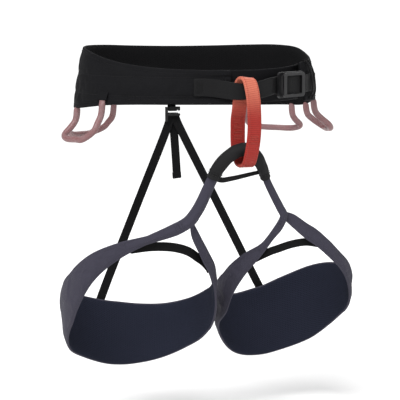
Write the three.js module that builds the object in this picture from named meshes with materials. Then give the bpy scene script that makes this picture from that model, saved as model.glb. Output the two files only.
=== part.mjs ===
// Climbing sit harness: padded waist belt with pre-threaded buckle, two shaped leg loops,
// belay loop, tie-in sheath, four gear loops and elastic rear risers.
// Millimetres. +Z up, the wearer faces -Y, +X is the wearer's left.
// Origin: centre of the waist opening, at half the height of the front of the belt.
import * as THREE from 'three';
import { mergeVertices } from 'three/addons/utils/BufferGeometryUtils.js';

// ---------------------------------------------------------------- driving dimensions
const GAP = 0.3;               // clearance between touching pieces
const BELT_SHELL_T = 1.2;      // outer belt fabric laminate
const BELT_WEB_T = 1.4;        // waist webbing sewn inside the belt
const BELT_FOAM_T = 3.0;       // belt foam core
const BELT_LINING_T = 1.0;     // belt mesh lining
const BELT_EDGE = 2.2;         // inset of foam and webbing from the belt edges
const WEB_T = 2.2;             // load-bearing webbing thickness
const WEB_W = 21;              // waist webbing width
const BELAY_T = 3.4;           // belay loop thickness
const BELAY_W = 17;            // belay loop width
const BELAY_YAW_DEG = 5;           // the belay loop hangs turned a little about the vertical (deg)
const LEG_SHELL_T = 1.1;
const LEG_FOAM_T = 2.4;
const LEG_LINING_T = 0.9;
const LEG_GAP = 0.5;           // clearance between the layers of a leg loop, which bend tightly
const GEAR_D = 7.4;            // gear loop tube diameter
const RISER_W = 9.5;           // elastic riser width
const RISER_T = 1.8;
const SHEATH_D = 16.5;         // tie-in sheath outer diameter

// ---------------------------------------------------------------- materials
const mat = (color, roughness = 0.9, metalness = 0) => new THREE.MeshStandardMaterial({ color, roughness, metalness });
const M = {
  beltShell: mat(0x1d1d21), beltLining: mat(0x17171a, 0.97), foam: mat(0x2b2b2f, 0.98),
  web: mat(0x19191c, 0.85), metal: mat(0x202024, 0.45, 0.85), belay: mat(0xd2503f, 0.75),
  sheath: mat(0x303033, 0.85), legShell: mat(0x4d4b5a, 0.9), legLining: mat(0x262a38, 0.95),
  elastic: mat(0x1c1c1d, 0.9), gear: mat(0x9c7274, 0.4), plastic: mat(0x1b1b1d, 0.5),
};

// ---------------------------------------------------------------- helpers
const V = (x, y, z) => new THREE.Vector3(x, y, z);
const lerp = (a, b, t) => a + (b - a) * t;
const spline = (rows, closed = false) => new THREE.CatmullRomCurve3(rows.map(r => V(...r)), closed, 'centripetal');

// closed body from an indexed vertex grid
function body(verts, tris) {
  const g = new THREE.BufferGeometry();
  g.setAttribute('position', new THREE.BufferAttribute(new Float32Array(verts.flatMap(v => [v.x, v.y, v.z])), 3));
  g.setIndex(tris.flat());
  return g;
}

// A sheet given as rows of points across its width, thickened between the offsets a and b
// along its normal. flip turns the normal round.
function sheetSolid(rows, a, b, { closed = false, flip = false } = {}) {
  const n = rows.length, m = rows[0].length;
  const normal = (i, j) => {
    const ip = closed ? (i + 1) % n : Math.min(i + 1, n - 1), im = closed ? (i - 1 + n) % n : Math.max(i - 1, 0);
    const jp = Math.min(j + 1, m - 1), jm = Math.max(j - 1, 0);
    const tu = rows[ip][j].clone().sub(rows[im][j]), tv = rows[i][jp].clone().sub(rows[i][jm]);
    const k = tu.cross(tv).normalize();
    return flip ? k.negate() : k;
  };
  const verts = [], idx = (i, j, s) => ((i % n) * m + j) * 2 + s;
  for (let i = 0; i < n; i++) for (let j = 0; j < m; j++) {
    const k = normal(i, j);
    verts.push(rows[i][j].clone().addScaledVector(k, a), rows[i][j].clone().addScaledVector(k, b));
  }
  const tris = [], quad = (p, q, r, s) => tris.push([p, q, r], [p, r, s]);
  const last = closed ? n : n - 1;
  for (let i = 0; i < last; i++) {
    for (let j = 0; j < m - 1; j++) {
      quad(idx(i, j, 1), idx(i + 1, j, 1), idx(i + 1, j + 1, 1), idx(i, j + 1, 1));
      quad(idx(i, j, 0), idx(i, j + 1, 0), idx(i + 1, j + 1, 0), idx(i + 1, j, 0));
    }
    quad(idx(i, 0, 0), idx(i + 1, 0, 0), idx(i + 1, 0, 1), idx(i, 0, 1));
    quad(idx(i, m - 1, 0), idx(i, m - 1, 1), idx(i + 1, m - 1, 1), idx(i + 1, m - 1, 0));
  }
  if (!closed) for (let j = 0; j < m - 1; j++) {
    quad(idx(0, j, 0), idx(0, j, 1), idx(0, j + 1, 1), idx(0, j + 1, 0));
    quad(idx(n - 1, j, 0), idx(n - 1, j + 1, 0), idx(n - 1, j + 1, 1), idx(n - 1, j, 1));
  }
  if (flip) for (const t of tris) t.reverse();
  return outward(body(verts, tris));
}

// turn a closed body's faces outwards
function outward(g) {
  const p = g.attributes.position, ix = g.index.array;
  let vol = 0;
  for (let i = 0; i < ix.length; i += 3) {
    const a = V().fromBufferAttribute(p, ix[i]), b = V().fromBufferAttribute(p, ix[i + 1]), c = V().fromBufferAttribute(p, ix[i + 2]);
    vol += a.dot(b.cross(c));
  }
  if (vol < 0) for (let i = 0; i < ix.length; i += 3) { const t = ix[i]; ix[i] = ix[i + 1]; ix[i + 1] = t; }
  return g;
}

// flat strap along a path: rows of [x, y, z] and the direction of its width
function strapRows(curve, steps, width, dir) {
  const rows = [];
  for (let i = 0; i <= steps; i++) {
    const t = i / steps, p = curve.getPointAt(t), tan = curve.getTangentAt(t);
    let d = typeof dir === 'function' ? dir(t, tan) : dir.clone();
    d.addScaledVector(tan, -d.dot(tan)).normalize();
    const w = typeof width === 'function' ? width(t) : width;
    rows.push([p.clone().addScaledVector(d, -w / 2), p.clone().addScaledVector(d, w / 2)]);
  }
  return rows;
}

// round or many-sided tube along a path
function tube(curve, d, steps, sides = 8, turn = 0) {
  const s = new THREE.Shape();
  for (let i = 0; i < sides; i++) {
    const a = turn + i / sides * Math.PI * 2, x = Math.cos(a) * d / 2, y = Math.sin(a) * d / 2;
    if (i) s.lineTo(x, y); else s.moveTo(x, y);
  }
  s.closePath();
  const g = new THREE.ExtrudeGeometry(s, { steps, extrudePath: curve, bevelEnabled: false, curveSegments: 1 });
  g.deleteAttribute('normal'); g.deleteAttribute('uv');
  return outward(mergeVertices(g, 1e-4));
}

// ---------------------------------------------------------------- scene graph
const harness = new THREE.Group();
function add(name, geometry, material, parent = harness) {
  geometry.computeVertexNormals();
  const m = new THREE.Mesh(geometry, material);
  m.name = name;
  parent.add(m);
  return m;
}

// ---------------------------------------------------------------- waist belt
// Stations around the belt, from the wearer's left front end round the back to the
// right front: x, y at half height, top z, bottom z.
const BELT = [
  [84, -93, 25.5, -20.5], [98, -81.5, 26, -21], [112, -62, 27, -22], [122, -38, 29, -24], [128, 6, 36, -33], [118, 50, 37.5, -36],
  [90, 83, 36.5, -38], [48, 99, 35.5, -38], [0, 104, 35.5, -37], [-52, 100, 37, -35], [-104, 82, 39.5, -32],
  [-140, 46, 40, -28], [-152, -2, 38, -24.5], [-136, -52, 29, -20], [-98, -90, 22.5, -18], [-50, -110, 20, -18],
  [-24, -113.5, 19.5, -18.5], [-14, -114.2, 19.4, -18.6],
];
const FLARE = 4.6;             // the belt's lower edge stands this far outside half height
const CENTRE = V(-12, -5, 0);
const beltMid = spline(BELT.map(r => [r[0], r[1], 0]));
const beltTop = spline(BELT.map((r, i) => [r[2], 0, i * 10]));
const beltBot = spline(BELT.map((r, i) => [r[3], 0, i * 10]));

function interpolateStations(col, u) {           // smooth value of a column at fraction u of the stations
  const f = u * (BELT.length - 1), i = Math.min(Math.floor(f), BELT.length - 2), t = f - i;
  const a = BELT[Math.max(i - 1, 0)][col], b = BELT[i][col], c = BELT[i + 1][col], d = BELT[Math.min(i + 2, BELT.length - 1)][col];
  return 0.5 * ((2 * b) + (c - a) * t + (2 * a - 5 * b + 4 * c - d) * t * t + (3 * b - a - 3 * c + d) * t ** 3);
}
function beltPoint(u, v) {                        // u along the belt, v from 0 (lower edge) to 1 (upper edge)
  const p = beltMid.getPoint(u), tan = beltMid.getTangent(u);
  const out = V(tan.y, -tan.x, 0).normalize();
  if (out.dot(p.clone().sub(CENTRE)) < 0) out.negate();
  const zt = interpolateStations(2, u), zb = interpolateStations(3, u);
  const s = 1 - 2 * v, crown = 1.2 * (1 - s * s);
  const flare = FLARE * s * Math.min(1, (zt - zb) / 66);
  const z = lerp(zb, zt, v);
  p.addScaledVector(out, flare + crown);
  p.z = z;
  return { p, out };
}
function beltRows(u0, u1, n, inset = 0, vs = [0, 0.5, 1]) {
  const rows = [];
  for (let i = 0; i <= n; i++) {
    const u = lerp(u0, u1, i / n);
    const h = interpolateStations(2, u) - interpolateStations(3, u);
    rows.push(vs.map(v => beltPoint(u, lerp(inset / h, 1 - inset / h, v)).p));
  }
  return rows;
}
const outFlip = rows => {                         // does the row grid's normal point away from the body centre?
  const i = rows.length >> 1, k = rows[i + 1][0].clone().sub(rows[i][0]).cross(rows[i][1].clone().sub(rows[i][0]));
  return k.dot(rows[i][0].clone().sub(CENTRE)) < 0;
};
const N_BELT = 44;
function beltChord(u, v) {                        // point on the faceted outer face of the belt
  const x = Math.min(Math.max(u, 0), 1) * N_BELT, i = Math.min(Math.floor(x), N_BELT - 1), t = x - i;
  const row = k => { const q = [0, 0.5, 1].map(w => beltPoint(k / N_BELT, w).p); return v < 0.5 ? q[0].clone().lerp(q[1], v * 2) : q[1].clone().lerp(q[2], v * 2 - 1); };
  return row(i).lerp(row(i + 1), t);
}
function beltStrip(i0, i1, w, zc) {               // a strip of width w at height zc on the belt's outer face
  const rows = [];
  for (let i = i0; i <= i1; i++) {
    const u = i / N_BELT, zt = interpolateStations(2, u), zb = interpolateStations(3, u), h = zt - zb, c = zc(u);
    rows.push([(c - w / 2 - zb) / h, 0.5, (c + w / 2 - zb) / h].map(v => beltChord(u, v)));
  }
  return rows;
}
const beltFace = beltRows(0, 1, N_BELT);
const beltFlip = outFlip(beltFace);
const S1 = -BELT_SHELL_T, W0 = S1 - GAP, W1 = W0 - BELT_WEB_T, F0 = W1 - GAP, F1 = F0 - BELT_FOAM_T, L0 = F1 - GAP, L1 = L0 - BELT_LINING_T;
add('belt_shell', sheetSolid(beltFace, S1, 0, { flip: beltFlip }), M.beltShell);
add('waist_webbing', sheetSolid(beltStrip(0, N_BELT - 1, WEB_W, u => lerp(1.5, 0.5, u)), W1, W0, { flip: beltFlip }), M.web);
add('belt_foam', sheetSolid(beltRows(1 / N_BELT, 1 - 1 / N_BELT, N_BELT - 2, BELT_EDGE), F1, F0, { flip: beltFlip }), M.foam);
add('belt_lining', sheetSolid(beltFace, L1, L0, { flip: beltFlip }), M.beltLining);

// Tongue: a thin pad from the right front end of the belt, behind the buckle, into the left end.
const TONGUE = [[-12.6, -111.4], [4, -111.6], [22, -110.2], [40, -106], [56, -98.5], [70, -88.5], [82, -77.5], [92, -66]];
{
  const c = spline(TONGUE.map(p => [p[0], p[1], 0])), rows = [];
  for (let i = 0; i <= 18; i++) {
    const p = c.getPointAt(i / 18), t = i / 18;
    const zt = lerp(19.2, 19.0, t), zb = lerp(-18.6, -18.0, t);
    rows.push([V(p.x, p.y, zb), V(p.x, p.y, lerp(zb, zt, 0.5)), V(p.x, p.y, zt)]);
  }
  const k = rows[3][0].clone().sub(rows[2][0]).cross(rows[2][1].clone().sub(rows[2][0]));
  add('belt_tongue', sheetSolid(rows, -3.0, 0, { flip: k.y > 0 }), M.beltLining);
}

// ---------------------------------------------------------------- buckle and tie-in webbing
// Buckle frame of reference: t along the belt, d away from the wearer, z up.
const BUCKLE = V(61, -110, 0.8), BT = V(0.9, 0.436, 0).normalize(), BN = V(0.436, -0.9, 0).normalize();
const at = (t, d, z = 0) => BUCKLE.clone().addScaledVector(BT, t).addScaledVector(BN, d).add(V(0, 0, z));
function ringShape(w, h, holes) {
  const rect = (P, x0, x1, y0, y1, r) => {
    P.moveTo(x0 + r, y0); P.lineTo(x1 - r, y0); P.lineTo(x1, y0 + r); P.lineTo(x1, y1 - r);
    P.lineTo(x1 - r, y1); P.lineTo(x0 + r, y1); P.lineTo(x0, y1 - r); P.lineTo(x0, y0 + r); P.closePath();
  };
  const s = new THREE.Shape();
  rect(s, -w / 2, w / 2, -h / 2, h / 2, 2.5);
  for (const [x0, x1, y0, y1] of holes) { const p = new THREE.Path(); rect(p, x0, x1, y0, y1, 1); s.holes.push(p); }
  return s;
}
function plate(name, shape, depth, material) {
  const g = new THREE.ExtrudeGeometry(shape, { depth, bevelEnabled: false, curveSegments: 2 });
  g.deleteAttribute('normal'); g.deleteAttribute('uv');
  return [name, outward(mergeVertices(g, 1e-4)), material];
}
function addAtBuckle(name, shape, d0, d1, material) {
  const m = add(...plate(name, shape, d1 - d0, material));
  m.applyMatrix4(new THREE.Matrix4().makeBasis(BT, V(0, 0, 1), BN));   // local x = t, y = z, z = d
  m.position.copy(at(0, d0));
  return m;
}
addAtBuckle('buckle_frame', ringShape(44, 29.5, [[-15.5, -4, -11.3, 11.3], [4, 15.5, -11.3, 11.3]]), -1.8, 1.2, M.metal);
addAtBuckle('buckle_slider', ringShape(38, 28, [[-13.5, 13.5, -10.6, 10.6]]), 4.2, 6.4, M.metal);
{
  // one length of webbing: sewn on the right front of the belt, through the belay loop,
  // under the left bar, over the middle and right bars, then flat on the left end of the belt
  const pts = [[-46, -114.5, 0.6], [-34, -116.8, -0.6], [-24, -120.4, -2.0], [-15, -125.2, -2.6], [-6, -127.4, -2.0], [4, -127.6, -1.2], [13, -127.4, -1.4], [22, -126.2, -0.4], [30, -124.0, 0.4]];
  for (const [t, d] of [[-22.5, -3.9], [-17.5, -3.4], [-12.6, -2.6], [-9.6, 0.2], [-6.8, 2.4], [-2, 2.9], [6, 2.7], [14, 2.7], [20, 2.9], [24, 2.3], [28, 0.6], [32, -1.2]]) pts.push(at(t, d).toArray());
  for (const u of [0.036, 0.05, 0.066, 0.082]) { const b = beltPoint(u, 0.47); const q = b.p.clone().addScaledVector(b.out, 3.1); pts.push([q.x, q.y, 1.5]); }
  const c = spline(pts);
  add('tie_in_webbing', sheetSolid(strapRows(c, 60, t => 20.5 - 2.0 * Math.exp(-(((t - 0.27) / 0.09) ** 2)), V(0, 0, 1)), -WEB_T / 2, WEB_T / 2), M.web);
  // short webbing that holds the frame to the left end of the belt, round its right bar
  const a = spline([at(26.6, -6.6).toArray(), at(23, -5.0).toArray(), at(18.6, -3.2).toArray(), at(13.4, -2.8).toArray(), at(12.4, 0).toArray()]);
  add('buckle_anchor_webbing', sheetSolid(strapRows(a, 8, 19, V(0, 0, 1)), -0.6, 0.6), M.web);
}
// elastic keepers over the webbing tail
for (const [name, u] of [['strap_keeper_front', 0.036], ['strap_keeper_rear', 0.062]]) {
  const rows = [], du = 0.0045;
  for (const [v, o] of [[0.08, 0.95], [0.14, 1.6], [0.19, 4.9], [0.3, 5.6], [0.58, 6.2], [0.8, 7.4], [0.86, 3.4], [0.93, 1.1]]) {
    rows.push([-du, du].map(k => { const b = beltPoint(u + k, v); return b.p.addScaledVector(b.out, o); }));
  }
  const k = rows[4][0].clone().sub(rows[3][0]).cross(rows[3][1].clone().sub(rows[3][0]));
  add(name, sheetSolid(rows, -0.55, 0.55), M.elastic);
}

// ---------------------------------------------------------------- belay loop
// Closed band. q forwards from the loop's axis, r along its width, z up.
const BELAY_AXIS = V(3, -127.0, 0);
{
  const y = BELAY_YAW_DEG * Math.PI / 180, fwd = V(Math.sin(y), -Math.cos(y), 0), wid = V(Math.cos(y), Math.sin(y), 0);
  const PATH = [
    [0, 0.5, 12.4], [5.0, 0.5, 10.2], [7.6, 0.6, 1], [8.8, 0.8, -12], [9.8, 1, -30], [10.0, 0.6, -48], [9.0, -0.6, -64], [5.6, -1.6, -78],
    [-1.6, -0.6, -88.0], [-8.6, -0.4, -90.6], [-16.4, -0.4, -87.9], [-22.4, -0.2, -77], [-25.0, 0.4, -64], [-22.6, -0.4, -49],
    [-17.4, -2.0, -36], [-11.6, -3.6, -26], [-8.4, -4.4, -16], [-7.6, -4.4, -6], [-7.4, -3.4, 3], [-5.2, -1.4, 10.0],
  ];
  const c = spline(PATH.map(([q, r, z]) => BELAY_AXIS.clone().addScaledVector(fwd, q).addScaledVector(wid, r).add(V(0, 0, z)).toArray()), true);
  const rows = strapRows(c, 40, BELAY_W, wid).slice(0, -1);
  add('belay_loop', sheetSolid(rows, -BELAY_T / 2, BELAY_T / 2, { closed: true }), M.belay);
}

// ---------------------------------------------------------------- tie-in sheath and bridge
const SHEATH = [[-31.6, -101, -104.6], [-27.3, -105, -93.7], [-23.0, -109, -86.0], [-16.5, -113.4, -78.6], [-8.6, -116.8, -73.2], [2.6, -118, -70.8], [13.4, -116.4, -76.8], [23.6, -110.6, -89.6], [29.5, -105.5, -98], [34.4, -101, -107.0]];
{
  const c = spline(SHEATH), s = new THREE.Shape(), h = new THREE.Path(), n = 12;
  for (const [P, r] of [[s, SHEATH_D / 2], [h, SHEATH_D / 2 - 2.2]]) {
    for (let i = 0; i < n; i++) { const a = i / n * Math.PI * 2; P[i ? 'lineTo' : 'moveTo'](r * Math.cos(a), r * Math.sin(a)); }
    P.closePath();
  }
  s.holes.push(h);
  const g = new THREE.ExtrudeGeometry(s, { steps: 22, extrudePath: c, bevelEnabled: false });
  g.deleteAttribute('normal'); g.deleteAttribute('uv');
  add('tie_in_sheath', outward(mergeVertices(g, 1e-4)), M.sheath);
  const inner = [];
  for (let i = 0; i <= 10; i++) inner.push(c.getPointAt(lerp(0.02, 0.98, i / 10)).toArray());
  add('bridge_webbing', tube(spline(inner), 9, 20, 8), M.web);
  const x = spline([[-19.8, -101.2, -105.4], [2, -100.4, -104.6], [22.4, -101.2, -102.6]]);
  add('cross_strap', sheetSolid(strapRows(x, 8, 5.5, V(0, 0, 1)), -0.8, 0.8), M.web);
}

// ---------------------------------------------------------------- leg loops
// Plan of a leg loop: centre x, y, half width, front and rear half depth.
// Stations: angle round the loop (deg, 90 = front, 180 = outer thigh, 270 = rear, 360 = crotch),
// top z, bottom z, plan scale of the top, middle and bottom edge.
const RIGHT_LEG = {
  side: -1, plan: [-91.5, -20, 91.5, 75, 92],
  rows: [
    [66, -148, -160, 0.985, 1.0, 1.01], [80, -157, -166, 0.985, 1.0, 1.01], [96, -166, -176, 0.985, 1.0, 1.0],
    [119, -174, -194, 0.975, 1.0, 0.99], [143, -187, -221, 0.975, 1.0, 0.96], [168, -207, -260, 0.97, 1.0, 0.93],
    [188, -226, -292, 0.97, 1.0, 0.92], [212, -245, -318, 0.97, 1.0, 0.92], [240, -259, -336, 0.97, 1.0, 0.94],
    [268, -271, -351, 0.97, 1.0, 0.96], [288, -276, -351, 0.97, 1.0, 0.96], [309, -275, -343, 0.97, 1.0, 0.96],
    [332, -266, -327, 0.97, 1.0, 0.97], [353, -252, -308, 0.975, 1.0, 0.98], [373, -234, -277, 0.985, 1.0, 1.0],
    [391, -217, -242, 1.0, 1.01, 1.01], [406, -200, -218, 1.02, 1.025, 1.03], [416, -184, -204, 1.03, 1.035, 1.04],
    [423, -171, -189, 1.01, 1.01, 1.02], [428, -162, -177, 0.99, 0.99, 0.99],
  ],
};
const LEFT_LEG = {
  side: 1, plan: [96.5, -20, 84.8, 75, 92],
  rows: [
    [64, -149, -157, 0.985, 1.0, 1.01], [79, -157, -172, 0.985, 1.0, 1.01], [92, -169, -190, 0.985, 1.0, 1.0],
    [106, -186, -208, 0.975, 1.0, 0.99], [124, -205, -228, 0.975, 1.0, 0.96], [150, -220, -258, 0.96, 0.985, 0.94],
    [175, -225, -284, 0.97, 1.0, 0.96], [200, -230, -312, 0.97, 1.0, 0.97], [222, -240, -334, 0.97, 1.0, 0.97],
    [248, -257, -349, 0.97, 1.0, 0.96], [270, -271, -355, 0.97, 1.0, 0.96], [292, -276, -347, 0.97, 1.0, 0.95],
    [318, -270, -321, 0.97, 0.99, 0.93], [340, -253, -299, 0.975, 0.99, 0.92], [358, -233, -283, 0.98, 0.99, 0.92],
    [375, -215, -253, 0.985, 0.99, 0.94], [392, -200, -227, 0.98, 0.98, 0.96], [408, -188, -204, 0.97, 0.97, 0.97],
    [420, -171, -184, 0.98, 0.98, 0.98], [426, -161, -173, 0.98, 0.98, 0.98],
  ],
};
const LEG_N = 44, LEG_V = [0, 0.35, 0.7, 1];
function phiStation(leg, phi) {                  // fraction of the stations at an angle
  let a = 0, b = 1;
  for (let i = 0; i < 40; i++) { const m = (a + b) / 2; if (legStation(leg, m)[0] < phi) a = m; else b = m; }
  return (a + b) / 2;
}
function legStation(leg, f) {                    // row values at fraction f of the stations
  const R = leg.rows, x = f * (R.length - 1), i = Math.min(Math.floor(x), R.length - 2), t = x - i;
  const a = R[Math.max(i - 1, 0)], b = R[i], c = R[i + 1], d = R[Math.min(i + 2, R.length - 1)];
  return b.map((_, k) => 0.5 * ((2 * b[k]) + (c[k] - a[k]) * t + (2 * a[k] - 5 * b[k] + 4 * c[k] - d[k]) * t * t + (3 * b[k] - a[k] - 3 * c[k] + d[k]) * t ** 3));
}
function legPlan(leg, phi, s) {
  const [cx, cy, a, bf, br] = leg.plan, th = phi * Math.PI / 180, n = 2.25;
  const c = leg.side * -Math.cos(th) * -1, sn = -Math.sin(th);
  const ex = v => Math.sign(v) * Math.abs(v) ** (2 / n);
  return V(cx - leg.side * a * s * ex(Math.cos(th)), cy + (sn < 0 ? bf : br) * s * ex(sn), 0);
}
function legPoint(leg, f, v) {                   // v 0 = lower edge, 1 = upper edge
  const [phi, zt, zb, st, sm, sb] = legStation(leg, f);
  const s = v < 0.5 ? lerp(sb, sm, 1 - (1 - 2 * v) ** 2) : lerp(sm, st, (2 * v - 1) ** 2);
  const p = legPlan(leg, phi, s);
  p.z = lerp(zb, zt, v);
  return p;
}
function legRows(leg, f0, f1, n, inset = 0, vs = LEG_V) {
  const rows = [];
  for (let i = 0; i <= n; i++) {
    const f = lerp(f0, f1, i / n), [, zt, zb] = legStation(leg, f), h = Math.max(zt - zb, 1);
    const e = Math.min(inset / h, 0.4);
    rows.push(vs.map(v => legPoint(leg, f, v === 0 ? e : v === 1 ? 1 - e : v)));
  }
  return rows;
}
const LEG_FRONT = {               // strap from the sheath end down to where the loop's ends meet
  right: { path: [[-34.4, -99.6, -112.0], [-38.2, -98.2, -121], [-43.4, -96.8, -133.1], [-50.6, -96.6, -144.4], [-57.5, -97.6, -151.5]], w: [15, 17.5] },
  left: { path: [[37.6, -99.6, -112.6], [42.0, -98.2, -120], [48.6, -96.8, -132.5], [54.6, -96.6, -144.4], [58.8, -97.6, -152.0]], w: [11, 13] },
};
const ELASTIC = {                 // band across the front of the thigh: angle round the loop, height
  right: [[114, -186.5], [95, -181.8], [80, -183.9], [66, -190.4], [54, -201]],
  left: [[57, -200.5], [62, -194.3], [74, -188.5], [88, -186.4], [98, -190.0]],
};
const RISER_TOP = { right: [-3.4, 111.0, -60.5], left: [7.4, 111.0, -60.5] };
for (const [side, leg] of [['right', RIGHT_LEG], ['left', LEFT_LEG]]) {
  const c = V(leg.plan[0], leg.plan[1], -250);
  const grp = new THREE.Group();
  harness.add(grp);
  const rows = legRows(leg, 0, 1, LEG_N);
  const i = LEG_N >> 1, k = rows[i + 1][2].clone().sub(rows[i][2]).cross(rows[i][3].clone().sub(rows[i][2]));
  const flip = k.dot(rows[i][2].clone().sub(c)) < 0;
  add(side + '_leg_shell', sheetSolid(rows, -LEG_SHELL_T, 0, { flip }), M.legShell, grp);
  const inner = legRows(leg, 1 / LEG_N, 1 - 1 / LEG_N, LEG_N - 2, 1.8), coarse = rows;
  const f0 = -LEG_SHELL_T - LEG_GAP, f1 = f0 - LEG_FOAM_T, l0 = f1 - LEG_GAP, l1 = l0 - LEG_LINING_T;
  add(side + '_leg_foam', sheetSolid(inner, f1, f0, { flip }), M.foam, grp);
  add(side + '_leg_lining', sheetSolid(coarse, l1, l0, { flip }), M.legLining, grp);
  // front strap, sewn over both ends of the loop
  const F = LEG_FRONT[side], fc = spline(F.path);
  const dir = (t, tan) => V(0, 0, 1).cross(tan).cross(tan).negate().lerp(V(leg.side, 0, 0.25), 0.5).cross(V(0, -1, 0)).cross(V(0, -1, 0)).negate();
  const sr = strapRows(fc, 10, t => lerp(F.w[0], F.w[1], t * t), (t, tan) => V(0, -1, 0).cross(tan));
  add(side + '_leg_front_strap', sheetSolid(sr, -1.4, 1.4), M.legShell, grp);
  // elastic across the thigh
  add(side + '_leg_elastic', sheetSolid(strapRows(spline(ELASTIC[side].map(([a, z]) => legPlan(leg, a, 0.9).setZ(z).toArray())), 16, 9, V(0, 0, 1)), -0.8, 0.8), M.elastic, grp);
  // tab on the rear of the loop where the riser is sewn
  const fr = phiStation(leg, side === 'right' ? 259 : 262);
  const tab = [];
  for (let j = 0; j <= 3; j++) tab.push([0.7, 0.8, 0.9].map(v => legPoint(leg, fr + (j - 1.5) * 0.008, v)));
  add(side + '_riser_tab', sheetSolid(tab, 0.4, 1.6, { flip }), M.web, grp);
  // elastic riser
  const m = tab[1][1].clone().add(tab[2][1]).multiplyScalar(0.5), o = m.clone().sub(c).setZ(0).normalize();
  const foot = m.clone().addScaledVector(o, 4.2), top = V(...RISER_TOP[side]);
  const knee = foot.clone().lerp(top, 0.1).addScaledVector(o, 1.6);
  const rc = spline([top.toArray(), top.clone().lerp(knee, 0.5).toArray(), knee.toArray(), foot.toArray()]);
  add(side + '_riser', sheetSolid(strapRows(rc, 14, RISER_W, V(1, 0, 0)), -RISER_T / 2, RISER_T / 2), M.elastic);
  grp.userData.foot = foot;
}

// ---------------------------------------------------------------- rear riser hook
{
  const s = new THREE.Shape();
  const P = [[-9.6, -39.2], [9.6, -39.2], [9.6, -44.2], [7.2, -44.2], [7.2, -41.8], [-6.6, -41.8], [-6.6, -47.8], [9.6, -47.8], [9.6, -50.6], [-6.6, -50.6], [-6.6, -57.5], [-9.6, -57.5]];
  P.forEach((p, i) => s[i ? 'lineTo' : 'moveTo'](...p)); s.closePath();
  const g = new THREE.ExtrudeGeometry(s, { depth: 3, bevelEnabled: false });
  g.deleteAttribute('normal'); g.deleteAttribute('uv');
  const m = add('riser_hook', outward(mergeVertices(g, 1e-4)), M.plastic);
  m.rotation.x = Math.PI / 2;                     // the outline stands upright, the plate is 3 thick along y
  m.position.set(0, 108.6, 0);
  const h = spline([[0, 109.6, -22], [0, 110.2, -31], [0, 110.6, -38], [0, 110.2, -42.4], [0, 107.2, -44.2], [0, 103.8, -42.0], [0, 103.4, -38.6]]);
  add('riser_hanger_loop', sheetSolid(strapRows(h, 14, 11, V(1, 0, 0)), -0.6, 0.6), M.web);
  const y = spline([[1, 111.0, -46.6], [1, 111.4, -49], [1.6, 111.2, -53], [2.4, 111.0, -57.2]]);
  add('riser_yoke', sheetSolid(strapRows(y, 6, t => 13, V(1, 0, 0)), -0.9, 0.9), M.elastic);
  const t = spline([[3.0, 113.6, -50], [3.4, 113.6, -61], [4.4, 113.0, -76], [5.8, 112.0, -100], [7.3, 111.0, -129.3]]);
  add('riser_tail', sheetSolid(strapRows(t, 10, 9.5, V(1, 0, 0)), -0.8, 0.8), M.elastic);
}

// ---------------------------------------------------------------- gear loops
// Each hangs from two points on the lower edge of the belt and stands outwards.
const GEAR = {
  right_front: { patch: 'b', a: [-158.5, 8, -22], b: [-145.8, -47.5, -15], ca: [-174.5, 4, -60], cb: [-163.0, -50, -57] },
  right_rear: { a: [-147.5, 46.5, -24], b: [-83.5, 98.5, -28], ca: [-162, 57, -64], cb: [-97, 110, -67] },
  left_rear: { a: [134.5, 31, -30], b: [91, 91.5, -33], ca: [146, 38, -65], cb: [104, 101, -66] },
  left_front: { a: [134.6, -6, -27], b: [124.6, -51, -20], ca: [155, -5, -61], cb: [144.6, -48, -57] },
};
for (const [key, G] of Object.entries(GEAR)) {
  for (const end of ['a', 'b']) {                 // ends sewn in the belt's lower seam, or flat on a patch
    let best = [1e9, 0];
    for (let u = 0; u <= 1; u += 0.0005) { const p = beltMid.getPoint(u), d = Math.hypot(p.x - G[end][0], p.y - G[end][1]); if (d < best[0]) best = [d, u]; }
    const u = G['u' + end] = best[1], zt = interpolateStations(2, u), zb = interpolateStations(3, u);
    if (G.patch === end) {
      const b = beltPoint(u, (G[end][2] - zb) / (zt - zb));
      G[end] = b.p.addScaledVector(b.out, 1.6 + GAP + GEAR_D / 2 + 0.4).toArray();
    } else {
      const b = beltPoint(u, 0);
      G[end] = b.p.addScaledVector(b.out, -GEAR_D / 2 + 0.8).add(V(0, 0, -1.9)).toArray();
    }
  }
  const a = V(...G.a), b = V(...G.b), ca = V(...G.ca), cb = V(...G.cb);
  const pts = [a, a.clone().lerp(ca, 0.12).setZ(lerp(G.a[2], G.ca[2], 0.3)), a.clone().lerp(ca, 0.42).setZ(lerp(G.a[2], G.ca[2], 0.62)),
    a.clone().lerp(ca, 0.86).setZ(lerp(G.a[2], G.ca[2], 0.88)).lerp(cb, 0.0), ca.clone().lerp(cb, 0.13), ca.clone().lerp(cb, 0.5).add(V(0, 0, -1)), ca.clone().lerp(cb, 0.87),
    b.clone().lerp(cb, 0.86).setZ(lerp(G.b[2], G.cb[2], 0.88)), b.clone().lerp(cb, 0.42).setZ(lerp(G.b[2], G.cb[2], 0.62)), b.clone().lerp(cb, 0.12).setZ(lerp(G.b[2], G.cb[2], 0.3)), b];
  add('gear_loop_' + key, tube(spline(pts.map(p => p.toArray())), GEAR_D, 30, 8, Math.PI / 8), M.gear);
}
// fabric patch on the belt behind the front end of the wearer's right front gear loop
{
  const u = GEAR.right_front.ub, rows = [];
  for (let j = 0; j <= 2; j++) rows.push([0.07, 0.4].map(v => beltChord(u + (j - 1) * 0.0085, v)));
  add('gear_loop_patch', sheetSolid(rows, 0.6, 1.6, { flip: beltFlip }), M.web);
}

export default harness;
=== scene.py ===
import bpy
import math
import numpy as np
from mathutils import Matrix, Vector


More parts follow.
